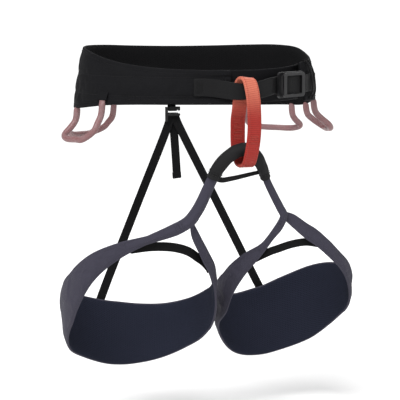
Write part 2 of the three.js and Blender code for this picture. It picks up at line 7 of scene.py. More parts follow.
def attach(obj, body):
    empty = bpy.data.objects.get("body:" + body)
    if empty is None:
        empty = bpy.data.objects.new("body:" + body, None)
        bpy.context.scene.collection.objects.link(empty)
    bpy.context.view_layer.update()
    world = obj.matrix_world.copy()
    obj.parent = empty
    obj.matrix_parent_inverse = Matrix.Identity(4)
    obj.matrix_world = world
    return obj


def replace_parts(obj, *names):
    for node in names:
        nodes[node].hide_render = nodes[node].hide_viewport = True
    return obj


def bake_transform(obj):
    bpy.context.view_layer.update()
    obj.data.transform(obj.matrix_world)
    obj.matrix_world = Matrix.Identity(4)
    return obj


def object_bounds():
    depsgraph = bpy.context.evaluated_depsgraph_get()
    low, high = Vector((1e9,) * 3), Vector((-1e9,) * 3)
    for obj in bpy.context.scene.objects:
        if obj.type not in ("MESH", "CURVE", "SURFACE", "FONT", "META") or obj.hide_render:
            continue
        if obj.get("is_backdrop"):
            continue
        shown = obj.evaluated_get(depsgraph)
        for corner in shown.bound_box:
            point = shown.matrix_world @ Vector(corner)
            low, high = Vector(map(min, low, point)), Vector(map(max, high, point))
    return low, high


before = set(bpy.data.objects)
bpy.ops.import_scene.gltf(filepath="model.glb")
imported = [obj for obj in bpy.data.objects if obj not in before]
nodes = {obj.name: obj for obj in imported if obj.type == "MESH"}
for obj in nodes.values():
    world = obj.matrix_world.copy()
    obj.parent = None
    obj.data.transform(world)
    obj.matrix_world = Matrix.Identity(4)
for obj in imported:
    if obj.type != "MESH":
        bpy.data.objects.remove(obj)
cad_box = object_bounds()
MM = 0.001
rng = np.random.default_rng(7)


# ================================================================ vectors and curves (millimetres)
def unit(a):
    a = np.asarray(a, float)
    n = np.linalg.norm(a, axis=-1, keepdims=True)
    return a / np.where(n < 1e-12, 1, n)


def lerp(a, b, t):
    return a + (b - a) * t


class Curve:
    """Centripetal Catmull-Rom curve through points."""

    def __init__(self, pts, closed=False, fine=24):
        self.p = np.array(pts, float)
        self.closed = closed
        n = (len(self.p) if closed else len(self.p) - 1) * fine
        self.s = np.array([self.raw(t) for t in np.linspace(0, 1, n + 1)])
        d = np.linalg.norm(np.diff(self.s, axis=0), axis=1)
        self.cum = np.concatenate([[0], np.cumsum(d)])
        self.length = self.cum[-1]

    def raw(self, t):
        P, l = self.p, len(self.p)
        x = (l if self.closed else l - 1) * t
        i = int(math.floor(x))
        w = x - i
        if self.closed:
            i %= l
        elif i >= l - 1:
            i, w = l - 2, 1.0
        p0 = P[(i - 1) % l] if self.closed or i > 0 else 2 * P[0] - P[1]
        p1, p2 = P[i % l], P[(i + 1) % l]
        p3 = P[(i + 2) % l] if self.closed or i + 2 < l else 2 * P[l - 1] - P[l - 2]
        d0, d1, d2 = (max(float(np.dot(b - a, b - a)), 0) ** 0.25 for a, b in ((p0, p1), (p1, p2), (p2, p3)))
        d1 = d1 if d1 > 1e-4 else 1.0
        d0 = d0 if d0 > 1e-4 else d1
        d2 = d2 if d2 > 1e-4 else d1
        t1 = ((p1 - p0) / d0 - (p2 - p0) / (d0 + d1) + (p2 - p1) / d1) * d1
        t2 = ((p2 - p1) / d1 - (p3 - p1) / (d1 + d2) + (p3 - p2) / d2) * d1
        c2, c3 = -3 * p1 + 3 * p2 - 2 * t1 - t2, 2 * p1 - 2 * p2 + t1 + t2
        return p1 + t1 * w + c2 * w * w + c3 * w ** 3

    def at(self, s):
        """Points at fractions of the length."""
        s = np.atleast_1d(s) * self.length
        return np.stack([np.interp(s, self.cum, self.s[:, k]) for k in range(3)], -1)

    def tan(self, s):
        e = 0.6 / self.length
        s = np.atleast_1d(s)
        if self.closed:
            return unit(self.at((s + e) % 1.0) - self.at((s - e) % 1.0))
        return unit(self.at(np.clip(s + e, 0, 1)) - self.at(np.clip(s - e, 0, 1)))


def catmull(rows, x):
    """Uniform Catmull-Rom of table rows at positions x, counted in rows."""
    R = np.array(rows, float)
    n = len(R)
    x = np.asarray(x, float)
    i = np.clip(np.floor(x).astype(int), 0, n - 2)
    t = (x - i)[..., None]
    a, b, c, d = R[np.maximum(i - 1, 0)], R[i], R[i + 1], R[np.minimum(i + 2, n - 1)]
    return 0.5 * (2 * b + (c - a) * t + (2 * a - 5 * b + 4 * c - d) * t ** 2 + (3 * b - a - 3 * c + d) * t ** 3)


# ================================================================ meshes
def make(name, verts, faces, uvs, mat, smooth=True):
    """verts in mm, faces as index lists, uvs per face corner in mm."""
    me = bpy.data.meshes.new(name)
    me.from_pydata((np.asarray(verts, float) * MM).tolist(), [], [list(map(int, f)) for f in faces])
    if uvs is not None:
        lay = me.uv_layers.new(name="UVMap")
        flat = np.concatenate([np.asarray(u, float).reshape(-1, 2) for u in uvs]) if len(uvs) else np.zeros((0, 2))
        lay.data.foreach_set("uv", (flat * 0.1).astype(np.float32).ravel())
    me.polygons.foreach_set("use_smooth", [smooth] * len(me.polygons))
    me.validate(clean_customdata=False)
    me.update()
    ob = bpy.data.objects.new(name, me)
    bpy.context.scene.collection.objects.link(ob)
    me.materials.append(mat)
    return ob


def signed_volume(v, faces):
    s = 0.0
    for f in faces:
        for k in range(1, len(f) - 1):
            s += np.dot(v[f[0]], np.cross(v[f[k]], v[f[k + 1]]))
    return s


def rings_body(name, R, mat, closed=False, along=None, cap=True):
    """A tube-like body from rings R (n, m, 3), each ring a closed profile."""
    n, m = R.shape[:2]
    V = R.reshape(-1, 3)
    if along is None:
        mid = R.mean(1)
        d = np.linalg.norm(np.diff(np.vstack([mid, mid[:1]]) if closed else mid, axis=0), axis=1)
        along = np.concatenate([[0], np.cumsum(d)])
    k = n // 2
    prof = np.concatenate([[0], np.cumsum(np.linalg.norm(np.diff(np.vstack([R[k], R[k][:1]]), axis=0), axis=1))])
    faces, uvs = [], []
    for i in range(n if closed else n - 1):
        i2 = (i + 1) % n
        for j in range(m):
            j2 = (j + 1) % m
            faces.append((i * m + j, i2 * m + j, i2 * m + j2, i * m + j2))
            uvs.append(((along[i], prof[j]), (along[i + 1], prof[j]), (along[i + 1], prof[j + 1]), (along[i], prof[j + 1])))
    if not closed and cap:
        # flat ends, as strips across the profile so that they subdivide cleanly
        h = m // 2
        for base, a in ((0, along[0]), ((n - 1) * m, along[n - 1])):
            for j in range(h - 1 + (m % 2 == 0) * 0):
                q = (base + j, base + j + 1, base + m - 2 - j, base + m - 1 - j)
                if len({*q}) < 4:
                    q = tuple(dict.fromkeys(q))
                if len(q) < 3:
                    continue
                if base:
                    q = q[::-1]
                faces.append(q)
                uvs.append(tuple((a, prof[(x - base) % m]) for x in q))
    if signed_volume(V, faces) < 0:
        faces = [f[::-1] for f in faces]
        uvs = [u[::-1] for u in uvs]
    return make(name, V, faces, uvs, mat)


def subdivide(ob, levels=1):
    bpy.context.view_layer.objects.active = ob
    mo = ob.modifiers.new("smooth", "SUBSURF")
    mo.levels = mo.render_levels = levels
    mo.uv_smooth = "PRESERVE_BOUNDARIES"
    apply(ob)


def apply(ob):
    dg = bpy.context.evaluated_depsgraph_get()
    me = bpy.data.meshes.new_from_object(ob.evaluated_get(dg), preserve_all_data_layers=True, depsgraph=dg)
    ob.modifiers.clear()
    old = ob.data
    ob.data = me
    me.name = ob.name
    bpy.data.meshes.remove(old)


def strap_profile(w, t, ridge=0.0, n=9):
    """Closed profile (across, out) of a flat woven strap: half width w, half thickness t, with raised selvedges."""
    r = min(t, w * 0.45)
    a = np.linspace(-1, 1, n)
    face = [(x * (w - r), t + ridge * math.exp(-(((abs(x) - 0.86) / 0.1) ** 2))) for x in a]
    edge = [(w - r + r * math.cos(q), t * math.sin(q)) for q in (0.9, 0.0, -0.9)]
    top = face
    bot = [(-x, -y) for x, y in face]
    edge2 = [(-x, -y) for x, y in edge]
    return np.array(top + edge + bot + edge2)


def strap(name, path, wdir, width, thick, mat, closed=False, steps=None, ridge=0.12, pitch=2.5, wobble=0.0, levels=1, lift=None):
    """A flat strap swept along a Curve. width in mm or a function of the fraction."""
    n = steps or max(8, int(path.length / pitch))
    s = np.arange(n) / n if closed else np.linspace(0, 1, n)
    P, T = path.at(s), path.tan(s)
    W = np.array([wdir(x, t) if callable(wdir) else wdir for x, t in zip(s, T)], float)
    W = unit(W - (W * T).sum(-1, keepdims=True) * T)
    N = unit(np.cross(W, T))
    R = []
    for i, x in enumerate(s):
        w = (width(x) if callable(width) else width) / 2
        pr = strap_profile(w, thick / 2, ridge)
        if not closed:                       # the cut ends are sealed, a little thinner
            d = min(x, 1 - x) * path.length
            k = min(1.0, 0.55 + 0.45 * d / 1.2)
            pr = pr * np.array([1 - 0.02 * (1 - k), k])
        off = wobble * math.sin(x * path.length / 9.0 + 1.3) if wobble else 0
        if lift is not None:
            off += lift(x)
        R.append(P[i] + W[i] * pr[:, :1] + N[i] * (pr[:, 1:] + off))
    ob = rings_body(name, np.array(R), mat, closed=closed, along=np.append(s, 1.0) * path.length if closed else s * path.length)
    if levels:
        subdivide(ob, levels)
    return ob


def tube(name, path, radius, mat, sides=20, pitch=2.0, taper=None, closed=False):
    n = max(6, int(path.length / pitch))
    s = np.linspace(0, 1, n)
    P, T = path.at(s), path.tan(s)
    ref = np.cross(T[0], [0.13, 0.2, 1.0])
    U = [unit(ref)]
    for i in range(1, n):
        u = U[-1] - np.dot(U[-1], T[i]) * T[i]
        U.append(unit(u))
    R = []
    for i in range(n):
        v = np.cross(T[i], U[i])
        r = radius * (taper(s[i]) if taper else 1)
        q = np.arange(sides) / sides * 2 * math.pi
        R.append(P[i] + np.cos(q)[:, None] * U[i] * r + np.sin(q)[:, None] * v * r)
    return rings_body(name, np.array(R), mat, along=s * path.length)


class Stitches:
    """Collects thread stitches into one mesh."""

    def __init__(self):
        self.v, self.f = [], []

    def one(self, a, b, n, r=0.34, rise=0.22):
        t = unit(b - a)
        n = unit(n - np.dot(n, t) * t)
        w = np.cross(t, n)
        base, k = len(self.v), 6
        for x, rr, h in ((0.0, 0.45, -0.25), (0.2, 1, 0.75), (0.8, 1, 0.75), (1.0, 0.45, -0.25)):
            c = a + (b - a) * x + n * rise * h
            for q in range(k):
                g = q / k * 2 * math.pi
                self.v.append(c + (w * math.cos(g) + n * math.sin(g) * 0.8) * r * rr)
        for i in range(3):
            for q in range(k):
                q2 = (q + 1) % k
                self.f.append((base + i * k + q, base + i * k + q2, base + (i + 1) * k + q2, base + (i + 1) * k + q))
        self.f.append(tuple(base + q for q in range(k))[::-1])
        self.f.append(tuple(base + 3 * k + q for q in range(k)))

    def line(self, pts, nrm, pitch=3.0, fill=0.72, r=0.34, rise=0.22):
        pts, nrm = np.asarray(pts, float), np.asarray(nrm, float)
        d = np.concatenate([[0], np.cumsum(np.linalg.norm(np.diff(pts, axis=0), axis=1))])
        if d[-1] < pitch:
            return
        k = max(1, int(d[-1] / pitch))
        step = d[-1] / k
        for i in range(k):
            s0, s1 = i * step, i * step + step * fill
            g = lambda s, A: np.array([np.interp(s, d, A[:, c]) for c in range(3)])
            self.one(g(s0, pts), g(s1, pts), unit(g((s0 + s1) / 2, nrm)), r, rise)

    def build(self, name, mat):
        v = np.array(self.v)
        f = self.f
        k = f[:20]
        c = v[:24].mean(0)
        vol = signed_volume(v[:24] - c, [q for q in f[:20]])
        if vol < 0:
            f = [q[::-1] for q in f]
        uv = [[(p[0] + p[2], p[1] - p[2]) for p in v[list(q)]] for q in f]
        return make(name, v, f, uv, mat)


# ================================================================ materials
def base_mat(name):
    m = bpy.data.materials.new(name)
    m.use_nodes = True
    nt = m.node_tree
    nt.nodes.clear()
    out = nt.nodes.new("ShaderNodeOutputMaterial")
    b = nt.nodes.new("ShaderNodeBsdfPrincipled")
    nt.links.new(b.outputs[0], out.inputs[0])
    return m, nt, b


class G:
    """Short names for node making."""

    def __init__(self, nt):
        self.nt = nt

    def node(self, kind, **kw):
        n = self.nt.nodes.new(kind)
        for k, v in kw.items():
            setattr(n, k, v)
        return n

    def plug(self, sock, v):
        if isinstance(v, (int, float)):
            sock.default_value = v
        elif isinstance(v, (tuple, list)):
            sock.default_value = v if len(v) == len(sock.default_value) else (*v, 1.0)
        else:
            self.nt.links.new(v, sock)

    def math(self, op, a, b=None, c=None, clamp=False):
        n = self.node("ShaderNodeMath", operation=op, use_clamp=clamp)
        for i, x in enumerate((a, b, c)):
            if x is not None:
                self.plug(n.inputs[i], x)
        return n.outputs[0]

    def mix(self, f, a, b):
        n = self.node("ShaderNodeMix", data_type="RGBA")
        self.plug(n.inputs[0], f)
        self.plug(n.inputs[6], a)
        self.plug(n.inputs[7], b)
        return n.outputs[2]

    def ramp(self, f, lo, hi, a=0.0, b=1.0):
        n = self.node("ShaderNodeMapRange")
        n.interpolation_type = "SMOOTHSTEP"
        self.plug(n.inputs[0], f)
        n.inputs[1].default_value, n.inputs[2].default_value = lo, hi
        n.inputs[3].default_value, n.inputs[4].default_value = a, b
        return n.outputs[0]

    def noise(self, vec, scale, detail=3.0, rough=0.55, dist=0.0):
        n = self.node("ShaderNodeTexNoise")
        self.nt.links.new(vec, n.inputs["Vector"])
        n.inputs["Scale"].default_value = scale
        n.inputs["Detail"].default_value = detail
        n.inputs["Roughness"].default_value = rough
        n.inputs["Distortion"].default_value = dist
        return n.outputs[0]


def fabric(name, dark, light, kind="plain", pu=0.9, pv=0.9, bump=0.14, rough=0.85, spec=0.15, sheen=0.0, sheen_tint=(1, 1, 1),
           mottle=0.16, fuzz=0.35, pick=1.0, streak=0.0, high=None):
    """Woven or knitted cloth. UVs are in centimetres, so a pitch in mm is a tenth of a unit. high = (colour, z from, z
    to) is a painted highlight: a paler colour mixed in towards the top.
    """
    m, nt, b = base_mat(name)
    g = G(nt)
    uv = g.node("ShaderNodeUVMap", uv_map="UVMap").outputs[0]
    sep = g.node("ShaderNodeSeparateXYZ")
    nt.links.new(uv, sep.inputs[0])
    X, Y = sep.outputs[0], sep.outputs[1]
    ob = g.node("ShaderNodeTexCoord").outputs["Object"]
    warp = g.math("MULTIPLY", g.math("SUBTRACT", g.noise(uv, 1.6, 2.0), 0.5), 0.05)
    X, Y = g.math("ADD", X, warp), g.math("ADD", Y, warp)
    kx, ky = 2 * math.pi / (pu * 0.1), 2 * math.pi / (pv * 0.1)
    if kind == "plain":
        a = g.math("SINE", g.math("MULTIPLY", X, kx))
        c = g.math("SINE", g.math("MULTIPLY", Y, ky))
        h = g.math("ADD", g.math("MULTIPLY", g.math("MULTIPLY", a, c), 0.5), 0.5)
    elif kind == "twill":
        a = g.math("SINE", g.math("ADD", g.math("MULTIPLY", X, kx), g.math("MULTIPLY", Y, ky)))
        c = g.math("SINE", g.math("MULTIPLY", Y, ky * 2.0))
        h = g.math("ADD", g.math("ADD", g.math("MULTIPLY", a, 0.36), g.math("MULTIPLY", c, 0.14)), 0.5)
    elif kind == "rib":        # cross ribs with fine warp threads over them
        a = g.math("ABSOLUTE", g.math("SINE", g.math("MULTIPLY", X, kx / 2)))
        c = g.math("ABSOLUTE", g.math("SINE", g.math("MULTIPLY", Y, ky / 2)))
        h = g.math("ADD", g.math("MULTIPLY", g.math("POWER", a, 0.6), 0.72), g.math("MULTIPLY", g.math("MULTIPLY", c, a), 0.28))
    elif kind == "chevron":    # herringbone columns, as flat webbing has
        col = g.math("ABSOLUTE", g.math("SINE", g.math("MULTIPLY", Y, ky / 6)))
        a = g.math("SINE", g.math("ADD", g.math("MULTIPLY", X, kx), g.math("MULTIPLY", col, 5.0)))
        c = g.math("ABSOLUTE", g.math("SINE", g.math("MULTIPLY", Y, ky / 2)))
        h = g.math("ADD", g.math("ADD", g.math("MULTIPLY", a, 0.3), g.math("MULTIPLY", c, 0.3)), 0.35)
    else:                      # spacer mesh: a hexagonal lattice of small holes
        c1 = g.math("COSINE", g.math("MULTIPLY", X, kx))
        q = g.math("MULTIPLY", X, kx / 2)
        p = g.math("MULTIPLY", Y, kx * 0.8660254)
        c2, c3 = g.math("COSINE", g.math("ADD", q, p)), g.math("COSINE", g.math("SUBTRACT", q, p))
        tot = g.math("ADD", c1, g.math("ADD", c2, c3))
        h = g.ramp(tot, 0.6, 2.4, 1.0, 0.0)
    fz = g.noise(uv, 42.0, 2.0, 0.6)
    big = g.noise(ob, 26.0, 3.0, 0.6)
    col = g.mix(g.math("MULTIPLY", h, pick), dark, light)
    v = g.math("ADD", 1 - mottle / 2 - fuzz * 0.16, g.math("ADD", g.math("MULTIPLY", big, mottle), g.math("MULTIPLY", fz, fuzz * 0.32)))
    if streak:
        st = g.node("ShaderNodeMapping")
        st.inputs["Scale"].default_value = (0.25, 9.0, 1.0)
        nt.links.new(uv, st.inputs[0])
        v = g.math("ADD", v, g.math("MULTIPLY", g.math("SUBTRACT", g.noise(st.outputs[0], 2.0, 2.0), 0.5), streak))
    if high:                   # painted highlight: paler towards the top, where the loop faces up into the light
        so = g.node("ShaderNodeSeparateXYZ")
        nt.links.new(ob, so.inputs[0])
        z_ = g.math("ADD", so.outputs[2], g.math("MULTIPLY", g.math("SUBTRACT", big, 0.5), 0.012))
        col = g.mix(g.math("MULTIPLY", g.ramp(z_, high[1], high[2]), g.math("ADD", 0.55, g.math("MULTIPLY", h, 0.45))), col, high[0])
    hsv = g.node("ShaderNodeHueSaturation")
    nt.links.new(col, hsv.inputs["Color"])
    nt.links.new(v, hsv.inputs["Value"])
    nt.links.new(hsv.outputs[0], b.inputs["Base Color"])
    g.plug(b.inputs["Roughness"], g.math("ADD", rough - 0.05, g.math("MULTIPLY", big, 0.1)))
    b.inputs["Specular IOR Level"].default_value = spec
    b.inputs["Sheen Weight"].default_value = sheen
    b.inputs["Sheen Roughness"].default_value = 0.45
    b.inputs["Sheen Tint"].default_value = (*sheen_tint, 1)
    bp = g.node("ShaderNodeBump")
    bp.inputs["Strength"].default_value = 1.0
    bp.inputs["Distance"].default_value = bump * MM
    nt.links.new(g.math("ADD", h, g.math("MULTIPLY", fz, 0.5)), bp.inputs["Height"])
    nt.links.new(bp.outputs[0], b.inputs["Normal"])
    return m


def hard(name, base, edge, rough, metallic=0.0, spec=0.5, grain=40.0, bump=0.02, coat=0.0, mottle=0.15, sss=0.0, wear=True):
    m, nt, b = base_mat(name)
    g = G(nt)
    ob = g.node("ShaderNodeTexCoord").outputs["Object"]
    n1, n2 = g.noise(ob, grain * 18, 3.0, 0.6), g.noise(ob, grain, 4.0, 0.6)
    f = g.ramp(n2, 0.35, 0.75, 0.0, mottle)
    col = g.mix(f, base, edge)
    if wear:                     # anodising or gloss rubbed off along the edges
        pt = g.node("ShaderNodeNewGeometry").outputs["Pointiness"]
        w = g.math("MULTIPLY", g.ramp(pt, 0.53, 0.6), g.ramp(n2, 0.38, 0.62, 0.25, 1.0))
        col = g.mix(w, col, edge)
    nt.links.new(col, b.inputs["Base Color"])
    g.plug(b.inputs["Roughness"], g.math("ADD", rough - 0.06, g.math("MULTIPLY", n2, 0.14)))
    b.inputs["Metallic"].default_value = metallic
    b.inputs["Specular IOR Level"].default_value = spec
    b.inputs["Coat Weight"].default_value = coat
    b.inputs["Coat Roughness"].default_value = 0.2
    if sss:
        b.inputs["Subsurface Weight"].default_value = sss
        b.inputs["Subsurface Radius"].default_value = (0.004, 0.002, 0.002)
        b.inputs["Subsurface Scale"].default_value = 1.0
    bp = g.node("ShaderNodeBump")
    bp.inputs["Distance"].default_value = bump * MM
    nt.links.new(n1, bp.inputs["Height"])
    nt.links.new(bp.outputs[0], b.inputs["Normal"])
    return m


M = {
    "belt": fabric("belt_cloth", (0.0044, 0.0044, 0.0052), (0.0076, 0.0076, 0.0088), "plain", 1.1, 1.1, bump=0.10, spec=0.08, rough=0.72, mottle=0.24),
    "belt_mesh": fabric("belt_spacer_mesh", (0.0020, 0.0020, 0.0022), (0.0072, 0.0072, 0.0078), "mesh", 2.4, 2.4, bump=0.35, spec=0.05, rough=0.95),
    "web": fabric("black_webbing", (0.0036, 0.0036, 0.0040), (0.0085, 0.0085, 0.0092), "chevron", 1.5, 1.3, bump=0.18, spec=0.14, rough=0.6, streak=0.3),
    "elastic": fabric("black_elastic", (0.0034, 0.0034, 0.0037), (0.0090, 0.0090, 0.0096), "rib", 1.3, 0.9, bump=0.2, spec=0.08, rough=0.85, streak=0.25),
    # the red webbing's high colour is a painted highlight, paler towards the top of the loop where light falls on it
    # from above
    "red": fabric("red_webbing", (0.20, 0.0092, 0.0080), (0.335, 0.0215, 0.0155), "rib", 2.3, 1.2, bump=0.3, spec=0.2, rough=0.55, sheen=0.3, sheen_tint=(1, 0.5, 0.36), mottle=0.14, streak=0.25, high=((0.56, 0.16, 0.10), -0.040, 0.006)),
    "sheath": fabric("sheath_cloth", (0.0085, 0.0085, 0.0092), (0.0155, 0.0155, 0.0164), "twill", 1.1, 1.1, bump=0.1, spec=0.12, rough=0.7, mottle=0.22),
    "leg": fabric("leg_cloth", (0.0330, 0.0312, 0.0455), (0.0490, 0.0465, 0.0660), "plain", 1.0, 1.0, bump=0.10, spec=0.12, rough=0.72, sheen=0.03, mottle=0.16),
    "leg_mesh": fabric("leg_spacer_mesh", (0.0060, 0.0070, 0.0130), (0.0175, 0.0200, 0.0335), "mesh", 2.4, 2.4, bump=0.35, spec=0.08, rough=0.92),
    "thread_black": fabric("thread_black", (0.0035, 0.0035, 0.004), (0.0085, 0.0085, 0.0095), "twill", 0.5, 0.5, bump=0.04, spec=0.2, rough=0.6),
    "thread_leg": fabric("thread_slate", (0.036, 0.034, 0.048), (0.062, 0.060, 0.080), "twill", 0.5, 0.5, bump=0.04, spec=0.2, rough=0.6),
    "thread_red": fabric("thread_red", (0.24, 0.02, 0.016), (0.45, 0.075, 0.05), "twill", 0.5, 0.5, bump=0.04, spec=0.3, rough=0.55),
    "thread_grey": fabric("thread_grey", (0.003, 0.003, 0.003), (0.006, 0.006, 0.006), "twill", 0.5, 0.5, bump=0.04, spec=0.3, rough=0.55),
    "metal": hard("anodised_aluminium", (0.0040, 0.0040, 0.0045), (0.0100, 0.0100, 0.0112), 0.38, metallic=0.0, spec=0.36, grain=60, bump=0.015),
    "plastic": hard("hook_plastic", (0.0045, 0.0045, 0.005), (0.008, 0.008, 0.0085), 0.42, spec=0.3, grain=90, bump=0.02, wear=False),
    "gear": hard("gear_tube_plastic", (0.205, 0.098, 0.100), (0.225, 0.156, 0.160), 0.42, spec=0.35, grain=70, bump=0.03, coat=0.0, mottle=0.6, sss=0.2, wear=False),
}


# ================================================================ surfaces the pads are built on
class Surf:
    """A strip of surface: F(u, v) in mm with outward normals. v runs from the lower edge to the upper."""

    def __init__(self, F, u0, u1, pitch, centre, nv=33, end=True):
        us = np.linspace(u0, u1, 500)
        mid = F(us, np.array([0.5]))[:, 0]
        cum = np.concatenate([[0], np.cumsum(np.linalg.norm(np.diff(mid, axis=0), axis=1))])
        L = cum[-1]
        k = int(round((L - 12) / pitch))
        s = np.concatenate([[0, 0.35, 1.0, 2.0, 3.2, 4.6], np.linspace(6.4, L - 6.4, k), L - np.array([4.6, 3.2, 2.0, 1.0, 0.35, 0])])
        self.u = np.interp(s, cum, us)
        self.s, self.L = s, L
        self.v = np.linspace(0, 1, nv)
        self.G = F(self.u, self.v)
        du, dv = np.gradient(self.G, s, axis=0), np.gradient(self.G, axis=1)
        n = unit(np.cross(du, dv))
        c = np.array(centre, float)
        if (n * (self.G - c))[..., :2].sum() < 0:
            n = -n
        self.Nm = n
        self.H = np.linalg.norm(np.diff(self.G, axis=1), axis=2).sum(1)

    def P(self, i, v):
        """Point and normal at ring i (may be fractional) and v."""
        n = len(self.s)
        i = min(max(i, 0), n - 1)
        a = min(int(i), n - 2)
        t = i - a
        x = np.clip(v, 0, 1) * (len(self.v) - 1)
        b = np.minimum(x.astype(int) if isinstance(x, np.ndarray) else int(x), len(self.v) - 2)
        w = (x - b)
        w = w[..., None] if isinstance(w, np.ndarray) else w
        A = lambda M_: (M_[a][b] * (1 - w) + M_[a][b + 1] * w) * (1 - t) + (M_[a + 1][b] * (1 - w) + M_[a + 1][b + 1] * w) * t
        return A(self.G), unit(A(self.Nm))

    def ring_at(self, s):
        return float(np.interp(s, self.s, np.arange(len(self.s))))


def thickness(T, Te, s, L, e, H, taper):
    """Depth of the padding at height e: thin along the edges, full inside, thinner towards the ends."""
    ed = np.minimum(e, H - e)
    k = 1.0
    if taper:
        d0, d1 = s / taper[0], (L - s) / taper[1]
        k = min(1.0, taper[2] + (1 - taper[2]) * min(1.0, d0 * d0 * (3 - 2 * d0) if d0 < 1 else 1.0), taper[2] + (1 - taper[2]) * (min(1.0, d1 * d1 * (3 - 2 * d1)) if d1 < 1 else 1.0))
    return Te + (T * k - Te) * (1 - np.exp(-np.maximum(ed - Te / 2, 0) / 3.6)) if T * k > Te else Te + 0 * ed


def pad(name, S, T, mat, no=22, ni=9, puff=0.5, grooves=(), extra=None, corner=7.0, sim=None, edge_seam=6.0, seam_depth=0.45, Te=3.2, taper=None):
    """A stuffed strip with thin rolled edges. grooves: functions of the along-distance giving a height in mm from the lower edge, where stitching pulls the cloth down."""
    R, free, along = [], [], S.s
    for i, s in enumerate(S.s):
        H = S.H[i]
        r0 = Te / 2
        d = min(s, S.L - s)
        k = math.sqrt(max(1 - (1 - min(d / r0, 1)) ** 2, 0.02)) if d < r0 else 1.0
        cr = min(corner, H * 0.45)
        sq = (cr - math.sqrt(max(cr * cr - (cr - min(d, cr)) ** 2, 0))) * 2 / H if d < cr else 0.0
        r = min(r0, H * 0.4)
        al = np.radians([-62, -32, 0, 32, 62])
        lo = [(r - r * math.cos(a), -r0 + r0 * math.sin(a)) for a in al]
        hi = [(H - (r - r * math.cos(a)), -r0 + r0 * math.sin(a)) for a in al[::-1]]
        q = np.linspace(0, 1, no)
        q = 0.5 - 0.5 * np.cos(q * math.pi) * (0.55 + 0.45 * np.abs(np.cos(q * math.pi)))
        e = r + q * (H - 2 * r)
        ed = np.minimum(e, H - e)
        off = puff * (1 - np.exp(-np.maximum(ed - r, 0) / 5.0))
        if edge_seam and H > 3 * edge_seam:
            off -= seam_depth * np.exp(-(((ed - edge_seam) / 1.1) ** 2))
        for gf in grooves:
            z = gf(s, H)
            if z is not None:
                off -= z[1] * np.exp(-(((e - z[0]) / 1.15) ** 2))
        if extra is not None:
            off += extra(s, e, H)
        out = list(zip(e, off))
        x = np.linspace(1, 0, ni)
        x = 0.5 - 0.5 * np.cos(x * math.pi)
        ei = r + x * (H - 2 * r)
        inn = list(zip(ei, -thickness(T, Te, s, S.L, ei, H, taper)))
        prof = np.array(lo + out + hi + inn)
        v = prof[:, 0] / H
        v = 0.5 + (v - 0.5) * (1 - sq)
        P, N = S.P(i, v)
        o = -r0 + (prof[:, 1] + r0) * k
        R.append(P + N * o[:, None])
        fr = np.zeros(len(prof))
        fr[5:5 + no] = 1.0
        fr[5:5 + no] *= np.clip((ed - r) / 3.0, 0, 1) * min(1, d / 10)
        if edge_seam and H > 3 * edge_seam:
            fr[5:5 + no] *= 1 - np.exp(-(((ed - edge_seam) / 1.3) ** 2))
        for gf in grooves:
            z = gf(s, H)
            if z is not None:
                fr[5:5 + no] *= 1 - np.exp(-(((e - z[0]) / 1.4) ** 2))
        free.append(fr)
    R = np.array(R)
    ob = rings_body(name, R, mat, along=along)
    if sim:
        simulate(ob, np.array(free).ravel(), **sim)
    subdivide(ob, 1)
    return ob


def simulate(ob, free, pressure=2.0, cap=1.6, shrink=-0.012, frames=16, bend=0.4):
    """Cloth with pressure: the cloth swells and puckers between its stitch lines, which stay pinned."""
    rest = np.array([v.co for v in ob.data.vertices], float)
    vg = ob.vertex_groups.new(name="pin")
    for i, f in enumerate(free):
        vg.add([i], float(1 - 0.995 * f), "REPLACE")
    mo = ob.modifiers.new("cloth", "CLOTH")
    st = mo.settings
    st.quality = 5
    st.mass = 0.25
    st.tension_stiffness = st.compression_stiffness = 12
    st.shear_stiffness = 6
    st.bending_stiffness = bend
    st.use_pressure = True
    st.uniform_pressure_force = pressure
    st.vertex_group_mass = "pin"
    st.pin_stiffness = 2.0
    st.shrink_min = shrink
    st.effector_weights.gravity = 0
    mo.point_cache.frame_start, mo.point_cache.frame_end = 1, frames
    sc = bpy.context.scene
    for f in range(1, frames + 1):
        sc.frame_set(f)
    dg = bpy.context.evaluated_depsgraph_get()
    ev = ob.evaluated_get(dg).to_mesh()
    co = np.empty(len(ev.vertices) * 3)
    ev.vertices.foreach_get("co", co)
    co = co.reshape(-1, 3)
    ob.evaluated_get(dg).to_mesh_clear()
    ob.modifiers.clear()
    ob.vertex_groups.clear()
    d = co - rest
    d[~np.isfinite(d)] = 0
    n = np.linalg.norm(d, axis=1, keepdims=True)
    lim = cap * MM * np.clip(free, 0, 1)[:, None]
    d *= np.minimum(1.0, lim / np.maximum(n, 1e-12))
    print("cloth", ob.name, "mean move mm", round(float(n.mean() * 1000), 3), "largest kept", round(float(np.linalg.norm(d, axis=1).max() * 1000), 3))
    ob.data.vertices.foreach_set("co", (rest + d).ravel())
    ob.data.update()
    sc.frame_set(1)


def lining(name, S, T, thick, mat, inset=1.4, n=21, dimple=0.35, s0=3.0, Te=3.2, taper=None):
    """The mesh lining: a thin sheet over the inner face, carried almost to the rolled edges."""
    rows = [i for i, s in enumerate(S.s) if s0 <= s <= S.L - s0]
    R = []
    for i in rows:
        s, H = S.s[i], S.H[i]
        e0 = min(inset, H * 0.3)
        d = min(s, S.L - s) - s0
        k = min(1.0, 0.25 + d / 4)
        q = 0.5 - 0.5 * np.cos(np.linspace(0, 1, n) * math.pi)
        e = e0 + q * (H - 2 * e0)
        ed = np.minimum(e, H - e) - e0
        base = thickness(T, Te, s, S.L, e, H, taper)
        top = -base + 0.4
        low = -base - thick * (0.12 + 0.88 * (1 - np.exp(-ed / 1.4))) * k
        low = low + 0.12 * np.sin(s / 7.3 + 2 * np.sin(e / 9.0)) * dimple
        prof = np.concatenate([np.stack([e, low], 1), np.stack([e[::-1], top[::-1]], 1)])
        P, N = S.P(i, prof[:, 0] / H)
        R.append(P + N * prof[:, 1:])
    ob = rings_body(name, np.array(R), mat, along=S.s[rows])
    subdivide(ob, 1)
    return ob


